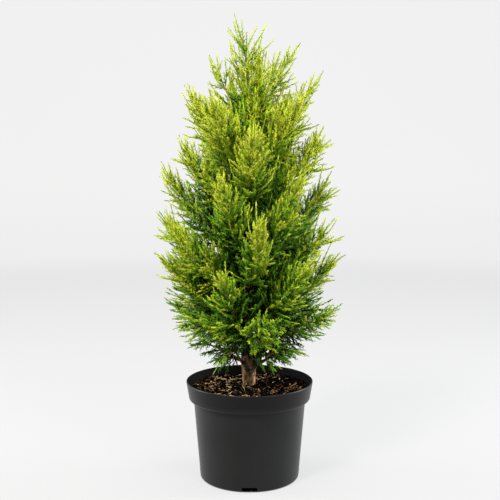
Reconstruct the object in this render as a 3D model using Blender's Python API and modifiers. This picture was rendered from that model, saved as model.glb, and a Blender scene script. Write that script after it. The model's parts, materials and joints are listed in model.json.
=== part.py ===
"""Potted Leyland cypress: a black nursery pot, its soil, a low-forked trunk and plumes of foliage.

Metres, +Z up. The origin is the middle of the pot's flat underside.
"""

import math
import random

import bmesh
import bpy
import numpy as np
from mathutils import Matrix, Vector

# Pot: a thin moulded shell with a stepped-out collar under its rim
POT_HEIGHT = 0.148
RIM_RADIUS = 0.095
COLLAR_FOOT_RADIUS = 0.0912
COLLAR_FOOT_HEIGHT = 0.124
BODY_TOP_RADIUS = 0.0838
BODY_TOP_HEIGHT = 0.117
BODY_FOOT_RADIUS = 0.0748
FOOT_ROUND = 0.0045
POT_WALL = 0.0018
POT_STEPS = 48
DRAIN_COUNT = 4
DRAIN_WIDTH = 0.0225
DRAIN_HEIGHT = 0.006

# Soil: fills the pot and is highest round the trunk
CLEAR = 0.0003
SOIL_CROWN_HEIGHT = 0.141
SOIL_EDGE_HEIGHT = 0.1375
SOIL_PLATEAU_RADIUS = 0.020
SOIL_STEPS = 28

# Trunk: (height, sideways in X, sideways in Y, radius), from the flat foot to the tip under the leader
TRUNK_FOOT = SOIL_CROWN_HEIGHT + CLEAR
TRUNK_LINE = (
    (TRUNK_FOOT, -0.001, 0.000, 0.0108),
    (0.150, -0.001, 0.000, 0.0102),
    (0.163, -0.001, 0.001, 0.0110),
    (0.178, 0.000, 0.001, 0.0125),
    (0.190, -0.001, 0.001, 0.0110),
    (0.206, -0.004, 0.002, 0.0082),
    (0.250, -0.005, 0.002, 0.0070),
    (0.330, -0.001, 0.000, 0.0056),
    (0.420, 0.002, -0.002, 0.0043),
    (0.500, 0.000, -0.001, 0.0031),
    (0.560, -0.002, 0.000, 0.0022),
    (0.606, -0.004, 0.001, 0.0014),
)
TRUNK_ROWS = 6
TRUNK_SIDES = 14

# Crown: (height, half width) of the outline that its furthest tips reach
OUTLINE = (
    (0.150, 0.058),
    (0.180, 0.084),
    (0.223, 0.122),
    (0.266, 0.143),
    (0.345, 0.147),
    (0.408, 0.145),
    (0.484, 0.131),
    (0.560, 0.112),
    (0.612, 0.107),
    (0.644, 0.075),
    (0.665, 0.045),
    (0.688, 0.030),
)

# Plumes, from the pot upwards: name, how many, height of root, height of tip, reach of tip from the axis,
# rise of the limb and pitch of the tip above level in degrees, first azimuth in degrees, half width
TIERS = (
    ("skirt", 5, 0.172, 0.184, 0.098, 30, -34, 18, 0.038),
    ("low", 6, 0.186, 0.252, 0.134, 34, -8, 38, 0.042),
    ("broad", 7, 0.212, 0.338, 0.140, 36, 34, 0, 0.045),
    ("middle", 6, 0.262, 0.405, 0.138, 38, 54, 38, 0.045),
    ("upper", 6, 0.318, 0.466, 0.129, 40, 60, 6, 0.043),
    ("shoulder", 5, 0.384, 0.520, 0.112, 42, 62, 56, 0.040),
    ("high", 4, 0.446, 0.580, 0.092, 44, 64, 50, 0.036),
    ("flank", 1, 0.466, 0.590, 0.093, 42, 58, 180, 0.034),
    ("outer", 1, 0.488, 0.612, 0.104, 40, 52, 4, 0.034),
    ("top", 3, 0.518, 0.632, 0.057, 52, 66, 75, 0.028),
    ("crest", 1, 0.552, 0.641, 0.073, 44, 54, -6, 0.026),
)
LIMBED_TIERS = ("skirt", "low")
LEADER_TIP = Vector((-0.022, 0.002, 0.687))
LEADER_WIDTH = 0.030
SEED = 41
REACH_JITTER = 0.05
TIP_HEIGHT_JITTER = 0.010
AZIMUTH_JITTER = 6.0
ROOT_CLIMB = 0.024
ROOT_STUB = 0.0045
STEM_POINTS = 25
STEM_END = 21
STEM_ROWS = (0, 1, 6, 13, STEM_END)
STEM_ROOT_RADIUS = 0.0026
STEM_TIP_RADIUS = 0.0007
LIMB_ROOT_RADIUS = 0.0036
LIMB_SHARE = 0.30

# Foliage in each plume
GOLDEN_ANGLE = math.radians(137.5)
TWIGS = 3
TWIG_FIRST, TWIG_LAST = 0.34, 0.70
TWIG_SPREAD = math.radians(50)
TWIG_RADIUS = 0.0016
SPRAYS = 7
SPRAY_FIRST, SPRAY_LAST = 0.20, 0.80
SPRAY_LENGTH = 0.060
SPRAY_WIDTH = 0.0170
SPRAY_THICKNESS = 0.0042
SPRAY_SPREAD = math.radians(40)
SPRAY_SUNK = 0.20
SHORTER = (1.0, 0.82, 0.66, 0.52)
CORE_FROM, CORE_TO = 0.14, 0.80
CORE_RADIUS = 0.34
SPACE_GAP = 0.0036
TRUNK_GAP = 0.0035
LOWEST_LEAF = POT_HEIGHT + 0.004

COLOURS = {
    "pot": ((0.035, 0.036, 0.038, 1.0), 0.5),
    "soil": ((0.055, 0.032, 0.018, 1.0), 0.95),
    "bark": ((0.18, 0.115, 0.075, 1.0), 0.85),
    "foliage": ((0.23, 0.36, 0.035, 1.0), 0.65),
}


def clear_scene():
    for obj in list(bpy.data.objects):
        bpy.data.objects.remove(obj, do_unlink=True)


def new_collection(name):
    made = bpy.data.collections.new(name)
    bpy.context.scene.collection.children.link(made)
    return made


def material(name):
    """A Principled material in this sub-part's plain colour."""
    found = bpy.data.materials.get(name)
    if found:
        return found
    colour, roughness = COLOURS[name]
    made = bpy.data.materials.new(name)
    made.use_nodes = True
    shader = made.node_tree.nodes["Principled BSDF"]
    shader.inputs["Base Color"].default_value = colour
    shader.inputs["Roughness"].default_value = roughness
    return made


def add_object(name, mesh, collection, finish=None):
    obj = bpy.data.objects.new(name, mesh)
    collection.objects.link(obj)
    if finish:
        mesh.materials.append(material(finish))
    return obj


def line_mesh(name, points):
    """A mesh of one open line, for a modifier to turn into a surface."""
    mesh = bpy.data.meshes.new(name)
    edges = [(i, i + 1) for i in range(len(points) - 1)]
    mesh.from_pydata([(r, 0.0, z) for r, z in points], edges, [])
    return mesh


def add_screw(obj, steps):
    turned = obj.modifiers.new("turned", "SCREW")
    turned.steps = steps
    turned.render_steps = steps
    turned.use_merge_vertices = True
    turned.merge_threshold = 0.00001
    turned.use_smooth_shade = True
    return turned


def arc(centre, radius, start, end, steps):
    """Points (radius, height) on a circular arc, with its angles in degrees."""
    turns = [math.radians(start + (end - start) * i / steps) for i in range(steps + 1)]
    return [(centre[0] + radius * math.cos(a), centre[1] + radius * math.sin(a)) for a in turns]


def pot_line():
    """The pot's outer line from the rim down to the middle of its underside."""
    foot_centre = (BODY_FOOT_RADIUS - FOOT_ROUND, FOOT_ROUND)
    under_round = 0.0038
    under_centre = (COLLAR_FOOT_RADIUS - under_round, COLLAR_FOOT_HEIGHT)
    neck_round = 0.0025
    neck_centre = (BODY_TOP_RADIUS + neck_round, BODY_TOP_HEIGHT + 0.0007)
    rim = [(RIM_RADIUS, POT_HEIGHT)]
    under = arc(under_centre, under_round, 0, -80, 2)
    neck = arc(neck_centre, neck_round, 110, 180, 1)
    foot = arc(foot_centre, FOOT_ROUND, 0, -90, 2)
    return rim + under + neck + foot + [(0.0, 0.0)]


def inset(line, distance):
    """The line moved inwards, towards the pot's inside, by this distance."""
    moved = []
    for i, (r, z) in enumerate(line):
        before = Vector(line[max(i - 1, 0)])
        after = Vector(line[min(i + 1, len(line) - 1)])
        along = (after - before).normalized()
        moved.append((r + along.y * distance, z - along.x * distance))
    moved[-1] = (0.0, line[-1][1] + distance)
    return moved


def build_drains():
    """Box cutters for the drain notches at the foot of the wall."""
    cutters = new_collection("drain cutters")
    for i in range(DRAIN_COUNT):
        turn = Matrix.Rotation(2 * math.pi * i / DRAIN_COUNT - math.pi / 2, 4, "Z")
        depth = 5 * POT_WALL
        middle = Matrix.Translation((BODY_FOOT_RADIUS - depth / 4, 0.0, 0.0))
        size = Matrix.Diagonal((depth, DRAIN_WIDTH, 2 * DRAIN_HEIGHT, 1.0))
        shape = bmesh.new()
        bmesh.ops.create_cube(shape, size=1.0, matrix=turn @ middle @ size)
        mesh = bpy.data.meshes.new(f"drain_cutter_{i}")
        shape.to_mesh(mesh)
        shape.free()
        cutter = add_object(mesh.name, mesh, cutters)
        cutter.hide_render = True
        cutter.display_type = "WIRE"
    return cutters


def build_pot(parts):
    mesh = line_mesh("pot", pot_line())
    pot = add_object("pot", mesh, parts, "pot")
    add_screw(pot, POT_STEPS)
    shell = pot.modifiers.new("shell", "SOLIDIFY")
    shell.thickness = POT_WALL
    shell.offset = -1.0
    shell.use_even_offset = True
    notches = pot.modifiers.new("notches", "BOOLEAN")
    notches.operation = "DIFFERENCE"
    notches.operand_type = "COLLECTION"
    notches.collection = build_drains()
    return pot


def build_soil(parts):
    """The soil: a turned solid just inside the pot's wall, with a flat top round the trunk."""
    wall = [p for p in inset(pot_line(), POT_WALL + 2 * CLEAR) if p[1] < SOIL_EDGE_HEIGHT]
    slope = (RIM_RADIUS - COLLAR_FOOT_RADIUS) / (POT_HEIGHT - COLLAR_FOOT_HEIGHT)
    edge_radius = wall[0][0] + slope * (SOIL_EDGE_HEIGHT - wall[0][1])
    top = [
        (0.0, SOIL_CROWN_HEIGHT),
        (SOIL_PLATEAU_RADIUS, SOIL_CROWN_HEIGHT),
        (0.6 * edge_radius, (SOIL_CROWN_HEIGHT + SOIL_EDGE_HEIGHT) / 2),
        (edge_radius, SOIL_EDGE_HEIGHT),
    ]
    soil = add_object("soil", line_mesh("soil", top + wall), parts, "soil")
    add_screw(soil, SOIL_STEPS)
    return soil


def trunk_at(height):
    """The trunk's centre and radius at a height."""
    heights = [row[0] for row in TRUNK_LINE]
    x, y, radius = (float(np.interp(height, heights, [row[k] for row in TRUNK_LINE])) for k in (1, 2, 3))
    return Vector((x, y, height)), radius


def trunk_side(height, level, limb_radius):
    """The point beside the trunk where a limb's end face sits clear of the bark, out along this level way."""
    centre, _ = trunk_at(height)
    reach = 0.0
    for step in np.linspace(-1.0, 1.0, 5):
        near, radius = trunk_at(height + step * limb_radius)
        reach = max(reach, (near - centre).dot(level) + radius)
    return centre + level * (reach + CLEAR)


def tube_mesh(name, points, radii, sides):
    """A closed tapering limb through these points, from a bevelled curve with filled caps."""
    curve = bpy.data.curves.new(name, "CURVE")
    curve.dimensions = "3D"
    curve.bevel_depth = 1.0
    curve.bevel_resolution = sides // 2 - 2
    curve.use_fill_caps = True
    spline = curve.splines.new("POLY")
    spline.points.add(len(points) - 1)
    for target, point, radius in zip(spline.points, points, radii):
        target.co = (*point, 1.0)
        target.radius = radius
    guide = bpy.data.objects.new(name, curve)
    bpy.context.scene.collection.objects.link(guide)
    bpy.context.view_layer.update()
    graph = bpy.context.evaluated_depsgraph_get()
    mesh = bpy.data.meshes.new_from_object(guide.evaluated_get(graph))
    bpy.data.objects.remove(guide, do_unlink=True)
    shape = bmesh.new()
    shape.from_mesh(mesh)
    bmesh.ops.remove_doubles(shape, verts=shape.verts, dist=0.000001)
    bmesh.ops.recalc_face_normals(shape, faces=shape.faces)
    shape.to_mesh(mesh)
    shape.free()
    mesh.materials.clear()
    mesh.shade_smooth()
    return mesh


def build_trunk(parts):
    """The whole trunk, from its flat foot on the soil to its tip below the leader plume."""
    rows = TRUNK_ROWS
    span = TRUNK_LINE[-1][0] - TRUNK_FOOT
    heights = sorted({row[0] for row in TRUNK_LINE} | {TRUNK_FOOT + span * i / rows for i in range(rows)})
    stations = [trunk_at(h) for h in heights]
    mesh = tube_mesh("trunk", [s[0] for s in stations], [s[1] for s in stations], TRUNK_SIDES)
    return add_object("trunk", mesh, parts, "bark")


class Plume:
    """One plume's plan: the line of its limb and stem, from the trunk's surface to its tip."""

    def __init__(self, name, root, out, root_way, tip, tip_way, half_width, limbed):
        self.name = name
        self.half_width = half_width
        self.limbed = limbed
        length = (tip - root).length
        stub = root + out * ROOT_STUB
        grip = [stub, stub + root_way * length * 0.34, tip - tip_way * length * 0.40, tip]
        self.line = [root] + [bezier(grip, t) for t in np.linspace(0, 1, STEM_POINTS - 1)]

    def limb_end(self):
        """The index in the line where the bare limb ends and the mass begins."""
        return round(LIMB_SHARE * (len(self.line) - 1)) if self.limbed else 0

    def at(self, share):
        """The stem's point and direction at this share of its leafy part, which starts clear of the limb."""
        last = len(self.line) - 1
        bare = self.limb_end() + 1.5 if self.limbed else 0
        place = bare + share * (last - bare)
        i = min(int(place), len(self.line) - 2)
        a, b = self.line[i], self.line[i + 1]
        return a.lerp(b, place - i), (b - a).normalized()


def bezier(grip, t):
    a, b, c, d = grip
    s = 1 - t
    return a * s**3 + b * (3 * s * s * t) + c * (3 * s * t * t) + d * t**3


def out_way(azimuth, pitch):
    return Vector((math.cos(azimuth) * math.cos(pitch), math.sin(azimuth) * math.cos(pitch), math.sin(pitch)))


def plume_plans():
    """Every plume, tier by tier and evenly round the trunk, with a little seeded disorder."""
    rng = random.Random(SEED)
    plans = []
    for name, count, root_z, tip_z, reach, rise, pitch, first, half_width in TIERS:
        for i in range(count):
            azimuth = math.radians(first + 360 * i / count + rng.uniform(-AZIMUTH_JITTER, AZIMUTH_JITTER))
            height = root_z + ROOT_CLIMB * (i * 0.62 % 1.0)
            level = out_way(azimuth, 0)
            limbed = name in LIMBED_TIERS
            root = trunk_side(height, level, LIMB_ROOT_RADIUS if limbed else STEM_ROOT_RADIUS)
            tip_reach = reach * (1 + rng.uniform(-REACH_JITTER, REACH_JITTER))
            tip_height = tip_z + rng.uniform(-TIP_HEIGHT_JITTER, TIP_HEIGHT_JITTER)
            tip = level * tip_reach + Vector((0, 0, tip_height))
            tip_way = out_way(azimuth, math.radians(pitch + rng.uniform(-6, 6)))
            root_way = out_way(azimuth, math.radians(rise))
            title = f"{name}_plume_{i + 1}" if count > 1 else f"{name}_plume"
            plans.append(Plume(title, root, level, root_way, tip, tip_way, half_width, limbed))
    centre, _ = trunk_at(TRUNK_LINE[-1][0])
    root = centre + Vector((0, 0, CLEAR))
    tip_way = (LEADER_TIP - root).normalized()
    up = Vector((0, 0, 1))
    plans.append(Plume("leader_plume", root, up, up, LEADER_TIP, tip_way, LEADER_WIDTH, False))
    return plans


class Spaces:
    """Tells which points lie in a plume's own space: nearest to its own stem, clear of the trunk, inside the outline."""

    def __init__(self, plans):
        self.lines = np.array([[tuple(p) for p in plan.line] for plan in plans])
        self.limb_ends = [plan.limb_end() for plan in plans]

    def holds(self, owner, points):
        for p in points:
            away = np.linalg.norm(self.lines - np.array(p), axis=2).min(axis=1)
            own = away[owner]
            away[owner] = math.inf
            if own + SPACE_GAP > away.min() or p.z < LOWEST_LEAF or p.z > OUTLINE[-1][0]:
                return False
            limb = self.lines[owner, : self.limb_ends[owner] + 1]
            if len(limb) > 1 and np.linalg.norm(limb - np.array(p), axis=1).min() < LIMB_ROOT_RADIUS + TRUNK_GAP:
                return False
            centre, radius = trunk_at(min(p.z, TRUNK_LINE[-1][0]))
            if (p - centre).length < radius + TRUNK_GAP:
                return False
            if math.hypot(p.x, p.y) > np.interp(p.z, *zip(*OUTLINE)):
                return False
        return True


def facing(way, side):
    """A turn that takes +X to way and +Y near side."""
    x = way.normalized()
    z = x.cross(side).normalized()
    y = z.cross(x)
    return Matrix((x, y, z)).transposed().to_4x4()


def add_twig(name, start, end, collection):
    """A three-sided tapering twig."""
    way = end - start
    shape = bmesh.new()
    bmesh.ops.create_cone(
        shape,
        cap_ends=True,
        segments=3,
        radius1=TWIG_RADIUS,
        radius2=TWIG_RADIUS * 0.55,
        depth=way.length,
        matrix=Matrix.Translation((start + end) / 2) @ way.to_track_quat("Z", "Y").to_matrix().to_4x4(),
    )
    mesh = bpy.data.meshes.new(name)
    shape.to_mesh(mesh)
    shape.free()
    return add_object(name, mesh, collection)


def spray_corners(start, way, side, length):
    """The tip, the two side corners and the middle of a spray."""
    middle = start + way * length * 0.42
    return [start + way * length, middle + side * SPRAY_WIDTH / 2, middle - side * SPRAY_WIDTH / 2, middle]


def add_spray(name, start, way, side, length, collection):
    """A flat pointed spray of eight faces, widest before its middle."""
    shape = bmesh.new()
    bmesh.ops.create_uvsphere(shape, u_segments=4, v_segments=2, radius=0.5)
    size = Matrix.Diagonal((SPRAY_WIDTH, SPRAY_THICKNESS, length, 1.0))
    turn = facing(way, side) @ Matrix.Rotation(math.pi / 2, 4, "Y") @ Matrix.Rotation(math.pi / 2, 4, "Z")
    for corner in shape.verts:
        if abs(corner.co.z) < 0.01:
            corner.co.z = -0.08
    bmesh.ops.transform(shape, matrix=Matrix.Translation(start + way * length / 2) @ turn @ size, verts=shape.verts)
    mesh = bpy.data.meshes.new(name)
    shape.to_mesh(mesh)
    shape.free()
    return add_object(name, mesh, collection)


def add_core(plan, owner, spaces, collection):
    """The dark heart of the plume: a plain spindle round the stem, shrunk until it is in its own space."""
    a, b = plan.at(CORE_FROM)[0], plan.at(CORE_TO)[0]
    way = b - a
    radius = plan.half_width * CORE_RADIUS
    while radius > 0.003:
        shape = bmesh.new()
        bmesh.ops.create_uvsphere(shape, u_segments=5, v_segments=4, radius=1.0)
        size = Matrix.Diagonal((radius, radius, way.length / 2, 1.0))
        turn = way.to_track_quat("Z", "Y").to_matrix().to_4x4()
        bmesh.ops.transform(shape, matrix=Matrix.Translation((a + b) / 2) @ turn @ size, verts=shape.verts)
        if spaces.holds(owner, [v.co for v in shape.verts]):
            mesh = bpy.data.meshes.new(f"{plan.name}_core")
            shape.to_mesh(mesh)
            shape.free()
            return add_object(mesh.name, mesh, collection)
        shape.free()
        radius *= 0.85
    return None


def leaning(along, turned, spread):
    """The way that leans from along by spread, round it by turned, and the broad side of a spray that grows so."""
    across = along.cross(Vector((0, 0, 1))).normalized()
    side = (Matrix.Rotation(turned, 3, along) @ across).normalized()
    way = (along * math.cos(spread) + side * math.sin(spread)).normalized()
    return way, way.cross(along.cross(way)).normalized()


def grow_sprays(plan, owner, spaces, rng, collection):
    """Sprays round the stem, twigs that carry a spray at their end, and a fan of sprays at the plume's tip."""
    turned = rng.uniform(0, 2 * math.pi)
    size = plan.half_width / 0.045
    for k in range(SPRAYS):
        start, along = plan.at(SPRAY_FIRST + (SPRAY_LAST - SPRAY_FIRST) * k / (SPRAYS - 1))
        turned += GOLDEN_ANGLE
        way, side = leaning(along, turned, SPRAY_SPREAD * rng.uniform(0.8, 1.2))
        length = SPRAY_LENGTH * size * rng.uniform(0.85, 1.15)
        grow_spray(f"{plan.name}_spray_{k}", owner, spaces, start, way, side, length, 0.04, collection)
    for k in range(TWIGS):
        start, along = plan.at(TWIG_FIRST + (TWIG_LAST - TWIG_FIRST) * k / (TWIGS - 1))
        turned += GOLDEN_ANGLE
        way, side = leaning(along, turned, TWIG_SPREAD)
        length = plan.half_width * 0.62 * rng.uniform(0.9, 1.1)
        end = start + way * length
        while length > 0.010 and not spaces.holds(owner, [start.lerp(end, 0.6), end]):
            length *= 0.8
            end = start + way * length
        lifted = (way + along * 0.5).normalized()
        spray_length = SPRAY_LENGTH * size * 0.85
        if length > 0.010 and grow_spray(
            f"{plan.name}_end_{k}", owner, spaces, end, lifted, side, spray_length, SPRAY_SUNK, collection
        ):
            add_twig(f"{plan.name}_twig_{k}", start, end, collection)
    tip, along = plan.at(1.0)
    way, side = leaning(along, rng.uniform(0, math.pi), 0.0001)
    length = SPRAY_LENGTH * size
    grow_spray(f"{plan.name}_tip", owner, spaces, tip - way * length, way, side, length, 0.0, collection)


def grow_spray(name, owner, spaces, root, way, side, length, sunk, collection):
    """A spray whose root is sunk in what carries it, made shorter until it keeps to its space, or skipped."""
    for share in SHORTER:
        start = root - way * length * share * sunk
        if spaces.holds(owner, spray_corners(start, way, side, length * share)):
            return add_spray(name, start, way, side, length * share, collection)
    return None


def join_mass(stem, pieces):
    """Fuses the pieces onto the stem by one Boolean union, keeps the main body, and removes the pieces."""
    fuse = stem.modifiers.new("fuse", "BOOLEAN")
    fuse.operation = "UNION"
    fuse.solver = "MANIFOLD"
    fuse.operand_type = "COLLECTION"
    fuse.collection = pieces
    bpy.context.view_layer.update()
    graph = bpy.context.evaluated_depsgraph_get()
    joined = bpy.data.meshes.new_from_object(stem.evaluated_get(graph))
    stem.modifiers.clear()
    for piece in list(pieces.objects):
        bpy.data.objects.remove(piece, do_unlink=True)
    bpy.data.collections.remove(pieces)
    joined.materials.clear()
    joined.materials.append(material("foliage"))
    stem.data = joined
    drop_scraps(joined)


def drop_scraps(mesh):
    """Keeps only the largest connected body of a mesh."""
    shape = bmesh.new()
    shape.from_mesh(mesh)
    left, bodies = set(shape.verts), []
    while left:
        reached, edge = set(), [left.pop()]
        while edge:
            corner = edge.pop()
            reached.add(corner)
            near = {e.other_vert(corner) for e in corner.link_edges} & left
            left -= near
            edge.extend(near)
        bodies.append(reached)
    bodies.sort(key=len)
    for scrap in bodies[:-1]:
        bmesh.ops.delete(shape, geom=list(scrap), context="VERTS")
    bmesh.ops.triangulate(shape, faces=shape.faces)
    shape.to_mesh(mesh)
    shape.free()


def build_plume(plan, owner, spaces, parts):
    """A limb where the tier has one, and the plume's mass of foliage on its stem."""
    split = plan.limb_end()
    thick = LIMB_ROOT_RADIUS if plan.limbed else STEM_ROOT_RADIUS * min(1.0, plan.half_width / 0.044)
    radii = [thick + (STEM_TIP_RADIUS - thick) * i / (STEM_POINTS - 1) for i in range(STEM_POINTS)]
    if plan.limbed:
        name = plan.name.replace("plume", "limb")
        shown = [0, 1, *range(3, split, 3), split]
        limb = tube_mesh(name, [plan.line[i] for i in shown], [radii[i] for i in shown], 6)
        add_object(name, limb, parts, "bark")
    line = list(plan.line[split:])
    if plan.limbed:
        line[0] = line[0] + (line[1] - line[0]).normalized() * 1.2 * CLEAR
    kept = [0, 1, *(i - split for i in STEM_ROWS if i > split + 1)]
    mesh = tube_mesh(plan.name, [line[i] for i in kept], [radii[split + i] for i in kept], 4)
    stem = add_object(plan.name, mesh, parts)
    pieces = new_collection(f"{plan.name} pieces")
    rng = random.Random(SEED + 7 * owner)
    add_core(plan, owner, spaces, pieces)
    grow_sprays(plan, owner, spaces, rng, pieces)
    join_mass(stem, pieces)


def main():
    clear_scene()
    parts = new_collection("potted leyland cypress")
    build_pot(parts)
    build_soil(parts)
    build_trunk(parts)
    plans = plume_plans()
    spaces = Spaces(plans)
    for owner, plan in enumerate(plans):
        build_plume(plan, owner, spaces, parts)


main()
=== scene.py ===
"""The looks of the potted Leyland cypress: foliage, bark, soil and nursery pot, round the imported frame."""

import json
import math
import random

import bmesh
import bpy
import numpy as np
from bpy.props import FloatProperty, FloatVectorProperty, IntProperty, PointerProperty
from bpy.types import Operator, Panel, PropertyGroup
from mathutils import Matrix, Vector, noise

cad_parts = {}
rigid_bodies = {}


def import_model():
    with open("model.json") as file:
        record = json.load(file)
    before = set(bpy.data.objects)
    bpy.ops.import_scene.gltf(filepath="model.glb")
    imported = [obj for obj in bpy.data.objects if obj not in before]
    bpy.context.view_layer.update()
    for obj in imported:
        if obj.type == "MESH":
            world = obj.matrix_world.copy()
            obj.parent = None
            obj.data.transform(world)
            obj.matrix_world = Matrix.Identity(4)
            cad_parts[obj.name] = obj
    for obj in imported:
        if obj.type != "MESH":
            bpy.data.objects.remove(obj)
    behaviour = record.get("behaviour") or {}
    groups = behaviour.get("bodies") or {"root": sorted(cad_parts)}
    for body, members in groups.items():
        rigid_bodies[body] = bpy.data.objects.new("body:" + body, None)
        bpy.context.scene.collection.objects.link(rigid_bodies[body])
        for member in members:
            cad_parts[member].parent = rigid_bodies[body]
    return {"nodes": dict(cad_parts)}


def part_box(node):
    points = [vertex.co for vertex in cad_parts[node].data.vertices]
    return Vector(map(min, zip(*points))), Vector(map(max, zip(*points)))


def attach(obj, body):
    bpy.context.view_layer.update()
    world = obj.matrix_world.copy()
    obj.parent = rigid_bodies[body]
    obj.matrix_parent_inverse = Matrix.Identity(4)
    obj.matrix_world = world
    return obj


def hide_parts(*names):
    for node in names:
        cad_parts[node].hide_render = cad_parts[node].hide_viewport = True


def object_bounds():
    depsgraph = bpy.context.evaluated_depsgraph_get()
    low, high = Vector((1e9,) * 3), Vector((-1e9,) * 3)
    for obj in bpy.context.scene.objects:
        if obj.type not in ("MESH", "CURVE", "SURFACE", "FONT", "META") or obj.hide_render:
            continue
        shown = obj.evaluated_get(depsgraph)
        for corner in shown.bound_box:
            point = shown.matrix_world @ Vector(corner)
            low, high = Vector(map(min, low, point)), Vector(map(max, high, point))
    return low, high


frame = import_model()
CAD_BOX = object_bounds()

bl_info = {
    "name": "Potted Leyland Cypress",
    "version": (1, 0, 0),
    "blender": (4, 5, 0),
    "location": "View3D > Sidebar > Cypress",
    "description": "Builds a potted Leyland cypress from its pot to the scale leaves of its sprigs",
    "category": "Add Mesh",
}

BODY = "root"
NODES = sorted(frame["nodes"])
PLUME_NODES = [name for name in NODES if "plume" in name]
LIMB_NODES = [name for name in NODES if "limb" in name]
POT_LOW, POT_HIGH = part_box("pot")
SOIL_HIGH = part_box("soil")[1]
POT_HEIGHT = POT_HIGH.z
RIM_RADIUS = (POT_HIGH.x - POT_LOW.x) / 2
TRUNK_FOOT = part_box("trunk")[0].z
UP = np.array((0.0, 0.0, 1.0))
FULL_TURN = 2 * math.pi
GOLDEN_ANGLE = math.radians(137.5)
# Keeps the product of two parallel ways from vanishing
NUDGE = 1e-6

# Trunk: (height, sideways in X, sideways in Y, radius), as in the solid
TRUNK_LINE = (
    (TRUNK_FOOT, -0.001, 0.000, 0.0108),
    (0.150, -0.001, 0.000, 0.0102),
    (0.163, -0.001, 0.001, 0.0110),
    (0.178, 0.000, 0.001, 0.0125),
    (0.190, -0.001, 0.001, 0.0110),
    (0.206, -0.004, 0.002, 0.0082),
    (0.250, -0.005, 0.002, 0.0070),
    (0.330, -0.001, 0.000, 0.0056),
    (0.420, 0.002, -0.002, 0.0043),
    (0.500, 0.000, -0.001, 0.0031),
    (0.560, -0.002, 0.000, 0.0022),
    (0.606, -0.004, 0.001, 0.0014),
)
# Outline of the foliage: (height, half width) that its furthest tips reach
OUTLINE = (
    (0.150, 0.058),
    (0.180, 0.084),
    (0.223, 0.122),
    (0.266, 0.143),
    (0.345, 0.147),
    (0.408, 0.145),
    (0.484, 0.131),
    (0.560, 0.112),
    (0.612, 0.107),
    (0.644, 0.075),
    (0.665, 0.045),
    (0.688, 0.030),
)
# Plumes, from the pot upwards: name, how many, height of root, height of tip, reach of tip from the axis,
# rise of the limb and pitch of the tip above level in degrees, first azimuth in degrees, half width
TIERS = (
    ("skirt", 5, 0.172, 0.184, 0.098, 30, -34, 18, 0.038),
    ("low", 6, 0.186, 0.252, 0.134, 34, -8, 38, 0.042),
    ("broad", 7, 0.212, 0.338, 0.140, 36, 34, 0, 0.045),
    ("middle", 6, 0.262, 0.405, 0.138, 38, 54, 38, 0.045),
    ("upper", 6, 0.318, 0.466, 0.129, 40, 60, 6, 0.043),
    ("shoulder", 5, 0.384, 0.520, 0.112, 42, 62, 56, 0.040),
    ("high", 4, 0.446, 0.580, 0.092, 44, 64, 50, 0.036),
    ("flank", 1, 0.466, 0.590, 0.093, 42, 58, 180, 0.034),
    ("outer", 1, 0.488, 0.612, 0.104, 40, 52, 4, 0.034),
    ("top", 3, 0.518, 0.632, 0.057, 52, 66, 75, 0.028),
    ("crest", 1, 0.552, 0.641, 0.073, 44, 54, -6, 0.026),
)
LIMBED_TIERS = ("skirt", "low")
LEADER_TIP = np.array((-0.022, 0.002, 0.687))
LEADER_WIDTH = 0.030

# Plume rule, with the values of the solids
RULE_SEED = 41
REACH_JITTER = 0.05
TIP_HEIGHT_JITTER = 0.010
AZIMUTH_JITTER = 6.0
PITCH_JITTER = 6.0
ROOT_CLIMB = 0.024
ROOT_STEP = 0.62
ROOT_STUB = 0.0045
ROOT_PULL = 0.34
TIP_PULL = 0.40
STEM_POINTS = 25
STEM_ROOT_RADIUS = 0.0026
LIMB_ROOT_RADIUS = 0.0036
LIMB_SHARE = 0.30
CLEAR = 0.0003

# Lances that fan out round the leader: share of its stem where each starts, and its tip
LEADER_LANCES = (
    (0.00, (-0.031, 0.004, 0.645)),
    (0.22, (-0.030, -0.008, 0.666)),
    (0.38, (-0.012, 0.006, 0.679)),
    (0.10, (0.025, -0.004, 0.672)),
    (0.30, (0.011, 0.006, 0.670)),
    (0.02, (0.036, 0.006, 0.652)),
    (0.15, (-0.012, 0.028, 0.657)),
    (0.18, (-0.004, -0.029, 0.660)),
)
# Steep thin shoots beside the fork: Bezier points of each
RISERS = (
    ((-0.006, -0.003, 0.168), (-0.017, -0.010, 0.184), (-0.028, -0.022, 0.206), (-0.040, -0.034, 0.262)),
    ((0.007, -0.003, 0.166), (0.017, -0.009, 0.182), (0.027, -0.020, 0.202), (0.036, -0.034, 0.258)),
    ((0.000, 0.008, 0.170), (-0.012, 0.016, 0.190), (-0.018, 0.026, 0.214), (-0.022, 0.040, 0.262)),
    ((0.006, 0.007, 0.170), (0.016, 0.014, 0.188), (0.026, 0.020, 0.212), (0.032, 0.030, 0.256)),
)
# Tips of the long side lances that give the plant its ragged outline
SIDE_TIPS = (
    (0.104, -0.020, 0.529),
    (0.122, 0.012, 0.508),
    (0.127, -0.004, 0.468),
    (-0.095, -0.006, 0.558),
    (-0.101, 0.014, 0.515),
    (-0.111, -0.012, 0.480),
    (-0.128, 0.008, 0.462),
    (0.137, 0.015, 0.434),
    (0.140, -0.020, 0.368),
    (0.137, 0.010, 0.341),
    (0.141, -0.012, 0.268),
    (0.122, 0.020, 0.300),
    (-0.136, 0.012, 0.402),
    (-0.141, -0.015, 0.344),
    (-0.130, 0.016, 0.270),
    (-0.138, -0.020, 0.310),
    (0.020, 0.137, 0.400),
    (-0.018, 0.138, 0.330),
    (0.090, 0.104, 0.425),
    (-0.092, 0.102, 0.360),
    (-0.139, 0.010, 0.366),
    (-0.136, -0.025, 0.380),
    (-0.139, 0.000, 0.402),
    (0.124, 0.010, 0.412),
)

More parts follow.
